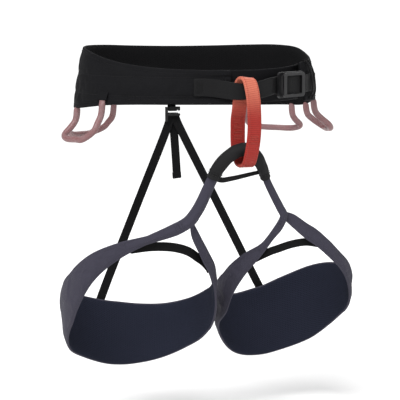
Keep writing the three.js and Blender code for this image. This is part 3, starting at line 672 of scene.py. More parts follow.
# ================================================================ waist belt
BELT = [
    [84, -93, 25.5, -20.5], [98, -81.5, 26, -21], [112, -62, 27.4, -22], [122, -38, 30, -24], [128, 6, 37.6, -33], [118, 50, 39.3, -36],
    [90, 83, 38.3, -38], [48, 99, 37.3, -38], [0, 104, 37.3, -37], [-52, 100, 38.8, -35], [-104, 82, 41.4, -33],
    [-140, 46, 42.2, -31], [-153, -2, 39.4, -27.6], [-136.5, -52, 29, -21], [-98, -90, 22.5, -18], [-50, -110, 20, -18],
    [-24, -113.5, 19.5, -18.5], [-14, -114.2, 19.4, -18.6],
]
belt_mid = Curve([[r[0], r[1], 0] for r in BELT])
CENTRE = np.array([-12.0, -5.0, 0.0])


def belt_F(u, v):
    u, v = np.asarray(u, float), np.asarray(v, float)
    p = np.array([belt_mid.raw(min(max(x, 0), 1)) for x in u])
    a = np.array([belt_mid.raw(min(x + 1e-4, 1)) for x in u])
    b = np.array([belt_mid.raw(max(x - 1e-4, 0)) for x in u])
    t = unit(a - b)
    out = np.stack([t[:, 1], -t[:, 0], 0 * t[:, 0]], -1)
    out = unit(out)
    sg = np.sign((out * (p - CENTRE)).sum(-1))
    out = out * sg[:, None]
    st = catmull(BELT, u * (len(BELT) - 1))
    zt, zb = st[:, 2:3], st[:, 3:4]
    s = 1 - 2 * v[None, :]
    flare = 4.6 * s * np.minimum(1, (zt - zb) / 66) + 1.2 * (1 - s * s)
    flare = flare + 3.0 * np.clip(s, 0, 1) ** 1.4 * np.exp(-(((u[:, None] - 0.70) / 0.07) ** 2))
    P = p[:, None, :] + out[:, None, :] * flare[..., None]
    P[..., 2] = zb + (zt - zb) * v[None, :]
    return P


def belt_at(u, v):
    """Point and outward direction, as the hardware is placed from."""
    P = belt_F([u], [v])[0, 0]
    a, b = belt_mid.raw(min(u + 1e-4, 1)), belt_mid.raw(max(u - 1e-4, 0))
    t = unit(a - b)
    o = unit(np.array([t[1], -t[0], 0]))
    return P, o if np.dot(o, belt_mid.raw(u) - CENTRE) > 0 else -o


SB = Surf(belt_F, 0, 1, 2.7, CENTRE)


def web_line(sign):
    def f(s, H):
        u = np.interp(s, SB.s, SB.u)
        st = catmull(BELT, np.array([u * (len(BELT) - 1)]))[0]
        zc = lerp(1.5, 0.5, u)
        z = zc + sign * 10.8
        e = (z - st[3]) / (st[2] - st[3]) * H
        return (e, 0.45 + 1.5 * math.exp(-(((SB.L - s) / (34 if sign > 0 else 52)) ** 2)))
    return f


def belt_extra(s, e, H):
    """The webbing shows as a raised band; the left front end is gathered into folds."""
    lo, hi = web_line(-1)(s, H)[0], web_line(1)(s, H)[0]
    band = 1 / (1 + np.exp(-(e - lo) / 0.7)) * 1 / (1 + np.exp((e - hi) / 0.7))
    o = 0.45 * band
    w = math.exp(-((s / 26.0) ** 4))
    o = o + w * 0.95 * np.sin(s / 1.15 + 0.05 * e) * np.exp(-(((e - H * 0.5) / (H * 0.42)) ** 4))
    o = o + 0.22 * np.sin(s / 11.0 + 1.7 * np.sin(e / 13.0)) * (1 - band) + 0.10 * np.sin(s / 5.3 + e / 6.0)
    return o


BTAP = (14.0, 22.0, 0.5)
belt = pad("belt_pad", SB, 6.6, M["belt"], no=30, ni=11, puff=0.5, grooves=(web_line(-1), web_line(1)), extra=belt_extra,
           sim=dict(pressure=2.2, cap=1.2), edge_seam=5.0, seam_depth=0.18, corner=3.0, Te=3.0, taper=BTAP)
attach(belt, "waist"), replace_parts(belt, "belt_shell", "belt_foam", "waist_webbing"), belt, belt
bl = lining("belt_mesh_lining", SB, 6.6, 0.9, M["belt_mesh"], Te=3.0, taper=BTAP)
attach(bl, "waist"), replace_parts(bl, "belt_lining"), bl, bl

st = Stitches()


def surf_line(S, e_of, s0, s1, off, n=None, inner=False):
    """Points and normals along a line on the strip, at height e_of(s, H) from its lower edge."""
    n = n or int((s1 - s0) / 3) + 2
    P, N = [], []
    for s in np.linspace(s0, s1, n):
        i = S.ring_at(s)
        H = float(np.interp(i, np.arange(len(S.H)), S.H))
        p, nn = S.P(i, float(e_of(s, H)) / H)
        P.append(p + nn * off)
        N.append(-nn if inner else nn)
    return np.array(P), np.array(N)


for sg in (-1, 1):
    f = web_line(sg)
    P, N = surf_line(SB, lambda s, H: f(s, H)[0], 8, SB.L - 8, 0.35)
    st.line(P, N, pitch=3.2)
for e0 in (5.0, -5.0):
    P, N = surf_line(SB, lambda s, H: e0 if e0 > 0 else H + e0, 6, SB.L - 6, 0.22)
    st.line(P, N, pitch=3.0, r=0.24, rise=0.14)
# bar tacks that hold the load-bearing webbing where it leaves the belt
for k in range(9):
    s = SB.L - 8 - k * 3.6
    i = SB.ring_at(s)
    H = float(np.interp(i, np.arange(len(SB.H)), SB.H))
    lo, hi = web_line(-1)(s, H)[0] + 2, web_line(1)(s, H)[0] - 2
    e = np.linspace(lo, hi, 12)
    for a, b in zip(e[:-1], e[1:]):
        pa, na = SB.P(SB.ring_at(s - 0.5), a / H)
        pb, _ = SB.P(SB.ring_at(s + 0.5), b / H)
        st.one(pa + na * 0.98, pb + na * 0.98, na, r=0.45, rise=0.4)
bs = st.build("belt_stitching", M["thread_black"])
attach(bs, "waist"), bs

# tongue: thin pad behind the buckle
TONGUE = [[-36, -104.2], [-24, -105.6], [-12.6, -108.6], [2, -111.2], [22, -110.2], [40, -106], [56, -98.5], [70, -88.5], [82, -77.5], [92, -66]]
tongue_c = Curve([[x, y, 0] for x, y in TONGUE])


def tongue_F(u, v):
    P = tongue_c.at(np.asarray(u))
    u = np.asarray(u)[:, None]
    zt, zb = 18.9 + 3.0 * np.clip((u - 0.35) / 0.65, 0, 1) ** 1.5, -18.2 - 1.0 * u
    out = np.repeat(P[:, None, :], len(v), 1)
    out[..., 2] = zb + (zt - zb) * np.asarray(v)[None, :]
    return out


ST = Surf(tongue_F, 0, 1, 2.6, CENTRE)
tg = pad("belt_tongue_pad", ST, 3.0, M["belt"], no=18, ni=7, puff=0.25, edge_seam=4.0, seam_depth=0.15, corner=2.0, Te=2.4,
         extra=lambda s, e, H: 0.12 * np.sin(s / 6.0 + np.sin(e / 7.0)))
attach(tg, "waist"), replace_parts(tg, "belt_tongue"), tg, tg

# ================================================================ buckle, tie-in webbing, keepers
BUCKLE = np.array([61, -110, 0.8])
BT, BN = unit([0.9, 0.436, 0]), unit([0.436, -0.9, 0])
at = lambda t, d, z=0: BUCKLE + BT * t + BN * d + np.array([0, 0, z])
pts = [[-59.2, -111.5, 0.6], [-52.8, -113.3, 0.6], [-46, -114.8, 0.6], [-34, -116.8, -0.9], [-24, -120.4, -2.6], [-15, -124.8, -4.0], [-6, -127.2, -4.6], [4, -127.6, -4.2], [13, -127.4, -3.2], [22, -126.2, -1.4], [30, -124.0, 0.2]]
pts += [at(t, d).tolist() for t, d in [[-22.5, -3.9], [-17.5, -3.4], [-12.6, -2.6], [-9.6, 0.2], [-6.8, 2.4], [-2, 2.9], [6, 2.7], [14, 2.7], [20, 2.9], [24, 2.3], [28, 0.6], [32, -1.2]]]
for u in (0.036, 0.05, 0.066, 0.082):
    p, o = belt_at(u, 0.47)
    q = p + o * 3.1
    pts.append([q[0], q[1], 1.5])
tie_path = Curve(pts)
Z = np.array([0.0, 0, 1])
tie = strap("tie_in_strap", tie_path, Z, lambda t: 20.5 - 2.0 * math.exp(-(((t - 0.327) / 0.083) ** 2)), 2.2, M["web"], pitch=2.2, ridge=0.14, wobble=0.0)
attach(tie, "waist"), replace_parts(tie, "tie_in_webbing"), tie
a_path = Curve([at(26.6, -6.6), at(23, -5.0), at(18.6, -3.2), at(13.4, -2.8), at(12.4, 0)])
an = strap("buckle_anchor_strap", a_path, Z, 19, 1.2, M["web"], pitch=1.5)
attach(an, "waist"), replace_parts(an, "buckle_anchor_webbing"), an
for nm, u in (("strap_keeper_front", 0.036), ("strap_keeper_rear", 0.062)):
    kp = []
    for v, o in [[0.04, 0.6], [0.12, 1.5], [0.19, 4.2], [0.3, 5.3], [0.5, 5.7], [0.68, 5.7], [0.84, 4.6], [0.95, 3.0], [1.02, 0.8], [1.02, -2.6]]:
        p, d = belt_at(u, v)
        kp.append(p + d * o)
    a, b = belt_at(u - 0.0045, 0.4)[0], belt_at(u + 0.0045, 0.4)[0]
    w = b - a
    kb = strap(nm + "_band", Curve(kp), w, float(np.linalg.norm(w)), 1.1, M["elastic"], pitch=1.1, ridge=0.1)
    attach(kb, "waist"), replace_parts(kb, nm), kb

st = Stitches()
for d0 in (2.6, 5.0, 7.4, 10.0):                      # right-hand end, and a block left of the buckle
    for s0 in ([d0 / tie_path.length] if d0 > 2.6 else [d0 / tie_path.length, 0.0]):
        if s0 <= 0:
            continue
        q, t_ = tie_path.at([s0])[0], unit(tie_path.tan([s0])[0])
        nn = unit(np.cross(Z, t_))
        nn = nn if nn[1] < 0 else -nn
        zz = np.linspace(-7.6, 7.6, 12)
        for a, b in zip(zz[:-1], zz[1:]):
            st.one(q + Z * a - t_ * 0.45 + nn * 1.16, q + Z * b + t_ * 0.45 + nn * 1.16, nn, r=0.3, rise=0.26)
sb_ = float(np.argmin(np.linalg.norm(tie_path.at(np.linspace(0, 1, 801)) - at(-17.5, -3.4), axis=1))) / 800
for d0 in (-7.5, -3.2, 1.0):
    s0 = sb_ + d0 / tie_path.length
    q, t_ = tie_path.at([s0])[0], unit(tie_path.tan([s0])[0])
    nn = unit(np.cross(Z, t_))
    nn = nn if nn[1] < 0 else -nn
    zz = np.linspace(-7.6, 7.6, 12)
    for a, b in zip(zz[:-1], zz[1:]):
        st.one(q + Z * a - t_ * 0.45 + nn * 1.16, q + Z * b + t_ * 0.45 + nn * 1.16, nn, r=0.34, rise=0.32)
tst = st.build("tie_in_bar_tacks", M["thread_black"])
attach(tst, "waist"), tst

for nm, bev in (("buckle_frame", 0.55), ("buckle_slider", 0.6), ("riser_hook", 0.35)):
    o = nodes[nm]
    mo = o.modifiers.new("edge", "BEVEL")
    mo.width, mo.segments, mo.limit_method, mo.angle_limit = bev * MM, 3, "ANGLE", math.radians(25)
    o.data.materials.clear()
    o.data.materials.append(M["plastic"] if nm == "riser_hook" else M["metal"])

# ================================================================ belay loop
yaw = math.radians(5)
fwd, wid = np.array([math.sin(yaw), -math.cos(yaw), 0]), np.array([math.cos(yaw), math.sin(yaw), 0])
PATH = [
    [0, -4.4, 10.2], [4.6, -3.6, 8.0], [7.6, -2.2, 0.2], [9.0, -0.6, -12], [9.8, 0.4, -30], [10.0, 0.4, -48], [9.0, -0.6, -64], [5.6, -1.6, -78],
    [-1.6, -0.8, -87.4], [-8.6, -0.8, -89.6], [-16.4, -1.2, -87.2], [-22.4, -1.8, -77], [-25.0, -2.0, -64], [-22.6, -3.4, -49],
    [-17.4, -5.9, -36], [-11.2, -7.8, -26], [-7.8, -8.6, -16], [-6.8, -8.6, -6], [-7.2, -7.2, 2.0], [-4.8, -5.6, 7.8],
]
bc = Curve([np.array([3, -127.0, 0]) + fwd * q + wid * r + Z * z for q, r, z in PATH], closed=True)


def belay_ring(name, path, mat):
    """Two layers of webbing sewn into one ring: the section has a waist at each edge between them."""
    n = int(path.length / 1.9)
    s = np.arange(n) / n
    P, T = path.at(s), path.tan(s)
    ln = np.clip((P[:, 2:3] + 34) / 42, 0, 1)
    rear = np.clip((-((P - np.array([3, -127.0, 0])) @ fwd)[:, None] - 1.5) / 5.0, 0, 1)
    wv_ = wid[None, :] - 0.14 * ln * ln * (3 - 2 * ln) * np.array([0, 0, 1.0]) + 0.2 * rear * rear * (3 - 2 * rear) * fwd[None, :]
    W = unit(wv_ - (wv_ * T).sum(-1, keepdims=True) * T)
    N = unit(np.cross(W, T))
    if (N * (P - P.mean(0))).sum() < 0:
        N = -N
    w, t = 8.5, 1.7
    a = np.linspace(-1, 1, 13)
    top = [(x * (w - 0.7), t + 0.10 * math.exp(-(((abs(x) - 0.84) / 0.09) ** 2)) - 0.16 * math.exp(-(((abs(x) - 0.66) / 0.07) ** 2))) for x in a]
    edge = [(w - 0.2, 1.25), (w, 0.85), (w - 0.15, 0.35), (w - 0.75, 0.0), (w - 0.15, -0.35), (w, -0.85), (w - 0.2, -1.25)]
    prof = np.array(top + edge + [(-x, -y) for x, y in top] + [(-x, -y) for x, y in edge])
    R = P[:, None, :] + W[:, None, :] * prof[None, :, :1] + N[:, None, :] * prof[None, :, 1:]
    ob = rings_body(name, R, mat, closed=True, along=np.append(s, 1.0) * path.length)
    subdivide(ob, 1)
    return ob, (P, T, W, N, s)


belay, (BP, BTn, BW, BNn, bsn) = belay_ring("belay_loop_ring", bc, M["red"])
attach(belay, "belay_loop"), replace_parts(belay, "belay_loop"), belay
st = Stitches()
n = len(BP)
for x in (-0.8, 0.8):
    idx = np.arange(n)
    st.line(BP[idx] + BW[idx] * x * 8.5 + BNn[idx] * 1.78, BNn[idx], pitch=2.6, r=0.28)
# rows of cross tacks where the layers are lapped: the rear strand and the lower front
for lo, hi in ((0.44, 0.50), (0.66, 0.80), (0.30, 0.335)):
    for s in np.arange(lo, hi, 2.6 / bc.length):
        i = int(s * n) % n
        y = np.linspace(-5.2, 5.2, 9)
        for a, b in zip(y[:-1], y[1:]):
            for sd in (1, -1):
                st.one(BP[i] + BTn[i] * -0.45 + BW[i] * a + BNn[i] * 1.68 * sd, BP[i] + BTn[i] * 0.45 + BW[i] * b + BNn[i] * 1.68 * sd, BNn[i] * sd, r=0.3, rise=0.22)
bst = st.build("belay_loop_stitching", M["thread_red"])
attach(bst, "belay_loop"), bst

# ================================================================ tie-in sheath, bridge, cross strap
SHEATH = [[-31.6, -101, -104.6], [-27.3, -105, -93.7], [-23.0, -109, -86.0], [-16.5, -113.4, -78.6], [-8.6, -116.8, -73.2], [2.6, -118, -70.8], [13.4, -116.4, -76.8], [23.6, -110.6, -89.6], [29.5, -105.5, -98], [34.4, -101, -107.0]]
sc_ = Curve(SHEATH)


def frames(path, s):
    P, T = path.at(s), path.tan(s)
    U = [unit(np.cross(T[0], [0, 1, 0]))]
    for i in range(1, len(s)):
        U.append(unit(U[-1] - np.dot(U[-1], T[i]) * T[i]))
    U = np.array(U)
    return P, T, U, np.cross(T, U)


def sleeve(name, path, r, wall, mat):
    """A soft sleeve, open at both ends: outside, hem, inside."""
    s = np.concatenate([[0.0, 0.006, 0.02, 0.034, 0.05], np.linspace(0.07, 0.93, 50), [0.95, 0.966, 0.98, 0.994, 1.0]])
    P, T, U, V = frames(path, s)
    k = 28
    q = np.arange(k) / k * 2 * math.pi
    rings = []
    for i, x in enumerate(s):
        e = min(x, 1 - x)
        L = path.length
        hem = 0.35 * math.exp(-((e * L / 1.3) ** 2)) - 0.45 * math.exp(-(((e * L - 5.5) / 1.2) ** 2))
        fold = 0.28 * np.sin(3 * q + x * 9) + 0.2 * np.sin(5 * q - x * 23) + 0.22 * np.sin(x * L / 2.9 + 1.6 * np.sin(q)) * (1 - math.exp(-((e * L / 14) ** 2)))
        rx = r - 1.9 * max(0, min(1, (x - 0.55) / 0.42)) ** 1.3
        rr = rx - 0.45 + hem + fold * 0.8
        sq = 1 - 0.10 * math.exp(-((e * L / 9) ** 2))
        rings.append(P[i] + (np.cos(q) * rr)[:, None] * U[i] + (np.sin(q) * rr * sq)[:, None] * V[i])
    for i in range(len(s) - 1, -1, -1):
        x = s[i]
        sq = 1 - 0.10 * math.exp(-((min(x, 1 - x) * path.length / 9) ** 2))
        rr = r - 1.9 * max(0, min(1, (x - 0.55) / 0.42)) ** 1.3 - wall - 0.1
        rings.append(P[i] + (np.cos(q) * rr)[:, None] * U[i] + (np.sin(q) * rr * sq)[:, None] * V[i])
    ob = rings_body(name, np.array(rings), mat, closed=True)
    subdivide(ob, 1)
    return ob


shp = sleeve("tie_in_sleeve", sc_, 8.25, 1.7, M["sheath"])
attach(shp, "waist"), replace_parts(shp, "tie_in_sheath"), shp
st = Stitches()
ss = np.array([0.0, 5.5 / sc_.length])
for s_ in (5.5 / sc_.length, 8.2 / sc_.length, 1 - 5.5 / sc_.length, 1 - 8.2 / sc_.length):
    P, T, U, V = frames(sc_, np.linspace(0, s_, 30))
    q = np.linspace(0, 2 * math.pi, 60)
    k_ = (8.05 - 1.9 * max(0, min(1, (s_ - 0.55) / 0.42)) ** 1.3)
    ring = P[-1] + np.cos(q)[:, None] * U[-1] * k_ + np.sin(q)[:, None] * V[-1] * k_ * 0.955
    st.line(ring, unit(ring - P[-1]), pitch=3.4, fill=0.6, r=0.42, rise=0.35)
sst = st.build("tie_in_sleeve_stitching", M["thread_grey"])
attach(sst, "waist"), sst
inner = Curve(sc_.at(np.linspace(0.02, 0.98, 11)))


def bridge(name, path, mat):
    s = np.linspace(0, 1, 60)
    P, T, U, V = frames(path, s)
    prof = strap_profile(4.3, 3.4, 0.2)
    R = P[:, None] + U[:, None] * prof[None, :, :1] + V[:, None] * prof[None, :, 1:]
    ob = rings_body(name, R, mat, along=s * path.length)
    subdivide(ob, 1)
    return ob


br = bridge("bridge_strap", inner, M["web"])
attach(br, "waist"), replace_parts(br, "bridge_webbing"), br
cs = strap("cross_tape", Curve([[-29, -102.6, -104.4], [-21.5, -102.6, -106.8], [-8, -101.2, -105.8], [6, -100.8, -103.6], [20, -102.2, -100.8], [30.5, -104.4, -98.8]]), Z, lambda t: 6.8 - 2.2 * t, 2.2, M["web"], pitch=1.6)
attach(cs, "waist"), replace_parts(cs, "cross_strap"), cs

# ================================================================ leg loops
LEGS = {
    "right": {
        "side": -1, "plan": [-91.5, -20, 91.5, 75, 92],
        "rows": [
            [61, -141, -153, 1.02, 1.02, 1.02], [67, -149, -160.5, 1.0, 1.01, 1.01], [80, -156, -166, 0.985, 1.0, 1.01], [96, -166, -176, 0.985, 1.0, 1.0],
            [119, -174, -194, 0.975, 1.0, 0.99], [143, -187, -221, 0.975, 1.0, 0.96], [168, -207, -260, 0.955, 0.995, 0.93],
            [188, -226, -292, 0.96, 0.995, 0.92], [212, -245, -318, 0.97, 1.0, 0.92], [240, -259, -336, 0.97, 1.0, 0.94],
            [268, -271, -351, 0.97, 1.0, 0.96], [288, -276, -351, 0.97, 1.0, 0.96], [309, -275, -343, 0.97, 1.0, 0.96],
            [332, -266, -327, 0.97, 1.0, 0.97], [353, -252, -308, 0.975, 1.0, 0.98], [373, -234, -277, 0.985, 1.0, 1.0],
            [391, -214, -245, 1.0, 1.01, 1.01], [406, -197, -221, 1.02, 1.025, 1.03], [416, -181, -206, 1.03, 1.035, 1.04],
            [422, -167, -190, 1.02, 1.02, 1.02], [426.5, -155, -176, 1.01, 1.01, 1.02], [428.5, -146, -166, 1.03, 1.03, 1.03], [429, -138, -156, 1.06, 1.06, 1.06]],
        "path": [[-28.4, -103.8, -97.0], [-31.4, -101.8, -104.6], [-34.6, -100, -112], [-38.4, -98.6, -121], [-43.8, -97.6, -133], [-51.4, -97.6, -144.8], [-60.5, -98.0, -154.2]],
        "tail": [(2, 1.5), (3, 0.9), (3.8, 0.1)], "tack": (0.52, 0.55, 0.58),
        "w": [[0, 11.5], [0.07, 14.0], [0.3, 15.6], [0.58, 15.6], [0.72, 12.5], [0.85, 10.0], [1, 9.0]], "ridge": (0.18, 3.4, 2.2),
        "elastic": [[112, -183.6], [95, -181.4], [80, -183.9], [66, -190.4], [55, -199.0], [47, -204.6], [38, -211.5], [30, -218]], "tab": 259, "top": [-3.4, 111.0, -58.5]},
    "left": {
        "side": 1, "plan": [96.5, -20, 84.8, 75, 92],
        "rows": [
            [67, -146.5, -155.5, 1.0, 1.0, 1.0], [71, -149, -161, 0.995, 1.0, 1.0], [79, -153.5, -171.5, 0.985, 1.0, 1.01], [92, -169, -190, 0.985, 1.0, 1.0],
            [106, -186, -208, 0.965, 0.995, 0.99], [124, -205, -228, 0.945, 0.985, 0.96], [150, -221, -258, 0.915, 0.965, 0.94],
            [175, -227, -284, 0.925, 0.985, 0.96], [200, -231, -312, 0.945, 0.995, 0.97], [222, -239, -334, 0.96, 1.0, 0.97],
            [248, -254.5, -349, 0.97, 1.0, 0.96], [270, -267.5, -355, 0.97, 1.0, 0.96], [292, -272, -347, 0.97, 1.0, 0.95],
            [318, -266, -321, 0.97, 0.99, 0.93], [340, -253, -299, 0.975, 0.99, 0.92], [358, -233, -283, 0.98, 0.99, 0.92],
            [375, -215, -253, 0.985, 0.99, 0.94], [392, -200, -227, 0.98, 0.98, 0.96], [408, -188, -204, 0.97, 0.97, 0.97],
            [420, -171, -183, 0.99, 0.99, 0.99], [426, -160, -171, 1.02, 1.02, 1.02], [428.6, -150, -160, 1.04, 1.04, 1.04], [428.2, -144, -150.5, 1.05, 1.05, 1.05]],
        "path": [[31.6, -104.2, -100.0], [34.8, -101.4, -106.6], [37.8, -100, -112.6], [42.2, -98.8, -120.4], [49.0, -97.8, -132.5], [55.2, -97.6, -143.6], [59.6, -97.8, -152.6]],
        "tail": [(-3, 1.6), (-4, 1.2), (-5, 0.1)], "tack": (0.62, 0.66),
        "w": [[0, 8.5], [0.08, 9.6], [0.5, 10.6], [0.68, 11.4], [0.8, 9.6], [1, 8.6]], "ridge": (-0.1, 2.9, 1.8),
        "elastic": [[34, -210.0], [41, -206.4], [49, -201.6], [57, -197.0], [64, -194.0], [75, -189.3], [88, -187.0], [98, -190.0]], "tab": 262, "top": [7.4, 111.0, -58.5]},
}


def leg_plan(leg, phi, s):
    cx, cy, a, bf, br_ = leg["plan"]
    th = np.radians(phi)
    c, sn = np.cos(th), -np.sin(th)
    ex = lambda v: np.sign(v) * np.abs(v) ** (2 / 2.25)
    return cx - leg["side"] * a * s * ex(c), cy + np.where(sn < 0, bf, br_) * s * ex(sn)


def leg_F(leg):
    def F(u, v):
        R = catmull(leg["rows"], np.asarray(u, float) * (len(leg["rows"]) - 1))
        phi, zt, zb, s_t, s_m, s_b = (R[:, k:k + 1] for k in range(6))
        v = np.asarray(v, float)[None, :]
        s = np.where(v < 0.5, s_b + (s_m - s_b) * (1 - (1 - 2 * v) ** 2), s_m + (s_t - s_m) * (2 * v - 1) ** 2)
        x, y = leg_plan(leg, phi + 0 * v, s)
        return np.stack([x, y, zb + (zt - zb) * v], -1)
    return F


for side, leg in LEGS.items():
    body = side + "_leg"
    cx, cy = leg["plan"][:2]
    S = Surf(leg_F(leg), 0, 1, 2.8, [cx, cy, -250])
    rear = lambda s, S=S: math.sin(math.pi * s / S.L) ** 2

    def extra(s, e, H, S=S, side=side):
        o = 0.16 * np.sin(s / 12.0 + 1.5 * np.sin(e / 15.0)) + 0.08 * np.sin(s / 4.7 + e / 5.0)
        for c, a in ((0, 1.0), (S.L, 1.0)):      # small gathers where the loop's ends are sewn under the strap
            o = o + a * 0.35 * math.exp(-(((s - c) / 20) ** 2)) * np.sin(s / 2.1 + e / 3.0)
        return o

    LTAP = (40.0, 40.0, 0.62)
    lp = pad(side + "_leg_pad", S, 4.4, M["leg"], no=26, ni=11, puff=0.35, extra=extra, corner=2.0, sim=dict(pressure=1.6, cap=1.1), edge_seam=4.0, seam_depth=0.14, Te=2.6, taper=LTAP)
    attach(lp, body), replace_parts(lp, side + "_leg_shell", side + "_leg_foam"), lp, lp
    ll = lining(side + "_leg_mesh_lining", S, 4.4, 0.8, M["leg_mesh"], inset=1.3, s0=30.0, Te=2.6, taper=LTAP)
    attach(ll, body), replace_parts(ll, side + "_leg_lining"), ll, ll
    st = Stitches()
    for e0 in (4.0, -4.0):
        P, N = surf_line(S, lambda s, H: (min(e0, H * 0.36) if e0 > 0 else max(H + e0, H * 0.64)), 30, S.L - 30, 0.16)
        st.line(P, N, pitch=3.0, r=0.22, rise=0.14)
    # front strap: folded lengthwise, it comes out of the sleeve and runs on along one branch of the loop
    nr = len(leg["rows"])
    tail = []
    for r_, o_ in leg["tail"]:
        j = r_ if r_ > 0 else nr - 1 + r_ + 1
        q = leg_F(leg)(np.array([j / (nr - 1)]), np.array([0.5]))[0, 0]
        o = np.array([q[0] - cx, q[1] - cy, 0])
        tail.append(q + unit(o) * o_)
    fc = Curve(leg["path"] + tail)
    wv = lambda x: float(np.interp(x, [w_[0] for w_ in leg["w"]], [w_[1] for w_ in leg["w"]]))
    s = np.linspace(0, 1, int(fc.length / 1.5))
    P, T = fc.at(s), fc.tan(s)
    W = unit(np.cross(np.array([0, -1.0, 0]), T))
    N = unit(np.cross(W, T))
    if N[len(N) // 3][1] > 0:
        N = -N
    if W[2][0] < 0:
        W = -W
    rx_, rh, bk = leg["ridge"]
    R = []
    for i, x in enumerate(s):
        h = wv(x) / 2
        k = 1 - 0.82 * max(0, (x - 0.6) / 0.4) ** 1.3
        k *= 0.8 + 0.2 * min(1, x / 0.1)
        pr = [(-1, -0.15 * rh), (-0.985, 0.1 * rh), (-0.9, 0.36 * rh), (-0.7, 0.62 * rh), (-0.4, 0.84 * rh), (-0.1, 0.97 * rh), (rx_, rh), (rx_ + 0.14, 0.9 * rh),
              (0.5, 0.6 * rh), (0.75, 0.22 * rh), (0.93, -0.16 * rh), (1.0, -0.5 * rh), (0.93, -0.72 * rh), (0.6, -0.62 * bk), (0.2, -0.8 * bk), (-0.3, -0.8 * bk), (-0.7, -0.55 * bk), (-0.95, -0.35 * bk)]
        pr = np.array(pr)
        R.append(P[i] + W[i] * pr[:, :1] * h + N[i] * pr[:, 1:] * k)
    fs = rings_body(side + "_leg_front_band", np.array(R), M["leg"], along=s * fc.length)
    subdivide(fs, 1)
    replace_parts(fs, side + "_leg_front_strap"), fs
    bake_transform(fs)
    # stitching along the fold, and a cross tack where the second branch is let in
    m_ = (s > 0.26) & (s < 0.86)
    kk = np.array([(1 - 0.82 * max(0, (x - 0.6) / 0.4) ** 1.3) for x in s])[m_, None]
    ww = np.array([wv(x) / 2 for x in s])[m_, None]
    st.line(P[m_] - W[m_] * ww * 0.74 + N[m_] * rh * 0.60 * kk, N[m_], pitch=2.8, r=0.24, rise=0.16)
    st.line(P[m_] + W[m_] * ww * (rx_ - 0.06) + N[m_] * rh * 1.0 * kk, N[m_], pitch=2.8, r=0.24, rise=0.16)
    for x in leg["tack"]:
        i = int(x * (len(s) - 1))
        y = np.linspace(-0.72, rx_ - 0.05, 6) * wv(s[i]) / 2
        kx_ = 1 - 0.82 * max(0, (s[i] - 0.6) / 0.4) ** 1.3
        for a, b in zip(y[:-1], y[1:]):
            hh = lambda q_: rh * kx_ * (0.97 if q_ > 0 else 1 - 0.42 * (abs(q_) / (wv(s[i]) / 2)) ** 1.6)
            st.one(P[i] + W[i] * a - T[i] * 0.5 + N[i] * hh(a), P[i] + W[i] * b + T[i] * 0.5 + N[i] * hh(b), N[i], r=0.34, rise=0.3)
    ls = st.build(side + "_leg_stitching", M["thread_leg"])
    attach(ls, body), ls
    # elastic across the thigh
    ep = Curve([[*leg_plan(leg, np.array(float(a)), 0.905), z] for a, z in leg["elastic"]])
    el = strap(side + "_leg_elastic_band", ep, Z, 10.8 if side == "right" else 9.6, 1.6, M["elastic"], pitch=2.0, ridge=0.1)
    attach(el, body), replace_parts(el, side + "_leg_elastic"), el
    # riser tab and riser
    fs_ = np.linspace(0, 1, 4001)
    ph = catmull(leg["rows"], fs_ * (len(leg["rows"]) - 1))[:, 0]
    fr = float(fs_[int(np.argmin(np.abs(ph - leg["tab"])))])
    F = leg_F(leg)
    c = np.array([cx, cy, -250.0])
    row = lambda j, v: F([fr + (j - 1.5) * 0.008], [v])[0, 0]
    m = (row(1, 0.8) + row(2, 0.8)) / 2
    o = m - c
    o[2] = 0
    o = unit(o)
    wtab = row(3, 0.8) - row(0, 0.8)
    tp = Curve([row(1.5, v) + o * 1.0 for v in (0.69, 0.75, 0.8, 0.85, 0.91)])
    tb = strap(side + "_riser_tab_patch", tp, wtab, float(np.linalg.norm(wtab)), 1.2, M["web"], pitch=1.2)
    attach(tb, body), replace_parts(tb, side + "_riser_tab"), tb
    foot = m + o * 4.2
    top = np.array(leg["top"])
    knee = lerp(foot, top, 0.1) + o * 1.6
    up = np.array([1.0 + (top[0] - 2.0) * 0.52, 110.9 + (0.5 if side == "left" else -0.5), -48.4])
    rc = Curve([up, lerp(up, top, 0.5) + np.array([0, 0.2, 0]), top, lerp(top, knee, 0.5), knee, foot])
    rs = strap(side + "_riser_band", rc, np.array([1.0, 0, 0]), 11.2, 1.8, M["elastic"], pitch=2.4, ridge=0.12)
    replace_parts(rs, side + "_riser"), rs
    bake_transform(rs)

# ================================================================ rear hanger, yoke and tail
h = strap("riser_hanger_strap", Curve([[0, 109.6, -22], [0, 110.2, -31], [0, 110.6, -38], [0, 110.2, -42.4], [0, 107.2, -44.2], [0, 103.8, -42.0], [0, 103.4, -38.6]]), [1.0, 0, 0], 11, 1.2, M["web"], pitch=1.4)
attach(h, "waist"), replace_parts(h, "riser_hanger_loop"), h
y = strap("riser_yoke_band", Curve([[1, 111.0, -46.6], [1, 111.4, -49], [1.6, 111.2, -53], [2.4, 111.0, -57.2]]), [1.0, 0, 0], 13, 1.8, M["elastic"], pitch=1.2)
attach(y, "waist"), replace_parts(y, "riser_yoke"), y
te = strap("riser_tail_fold", Curve([[6.75, 111.3, -121.6], [7.0, 111.15, -125.2], [7.35, 111.0, -129.9]]), [1.0, 0, 0], 12.2, 3.4, M["elastic"], pitch=1.2)
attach(te, "waist"), te
t = strap("riser_tail_band", Curve([[3.0, 113.6, -50], [3.4, 113.6, -61], [4.4, 113.0, -76], [5.8, 112.0, -100], [7.3, 111.0, -129.3]]), [1.0, 0, 0], 11.2, 1.6, M["elastic"], pitch=2.0)
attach(t, "waist"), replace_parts(t, "riser_tail"), t

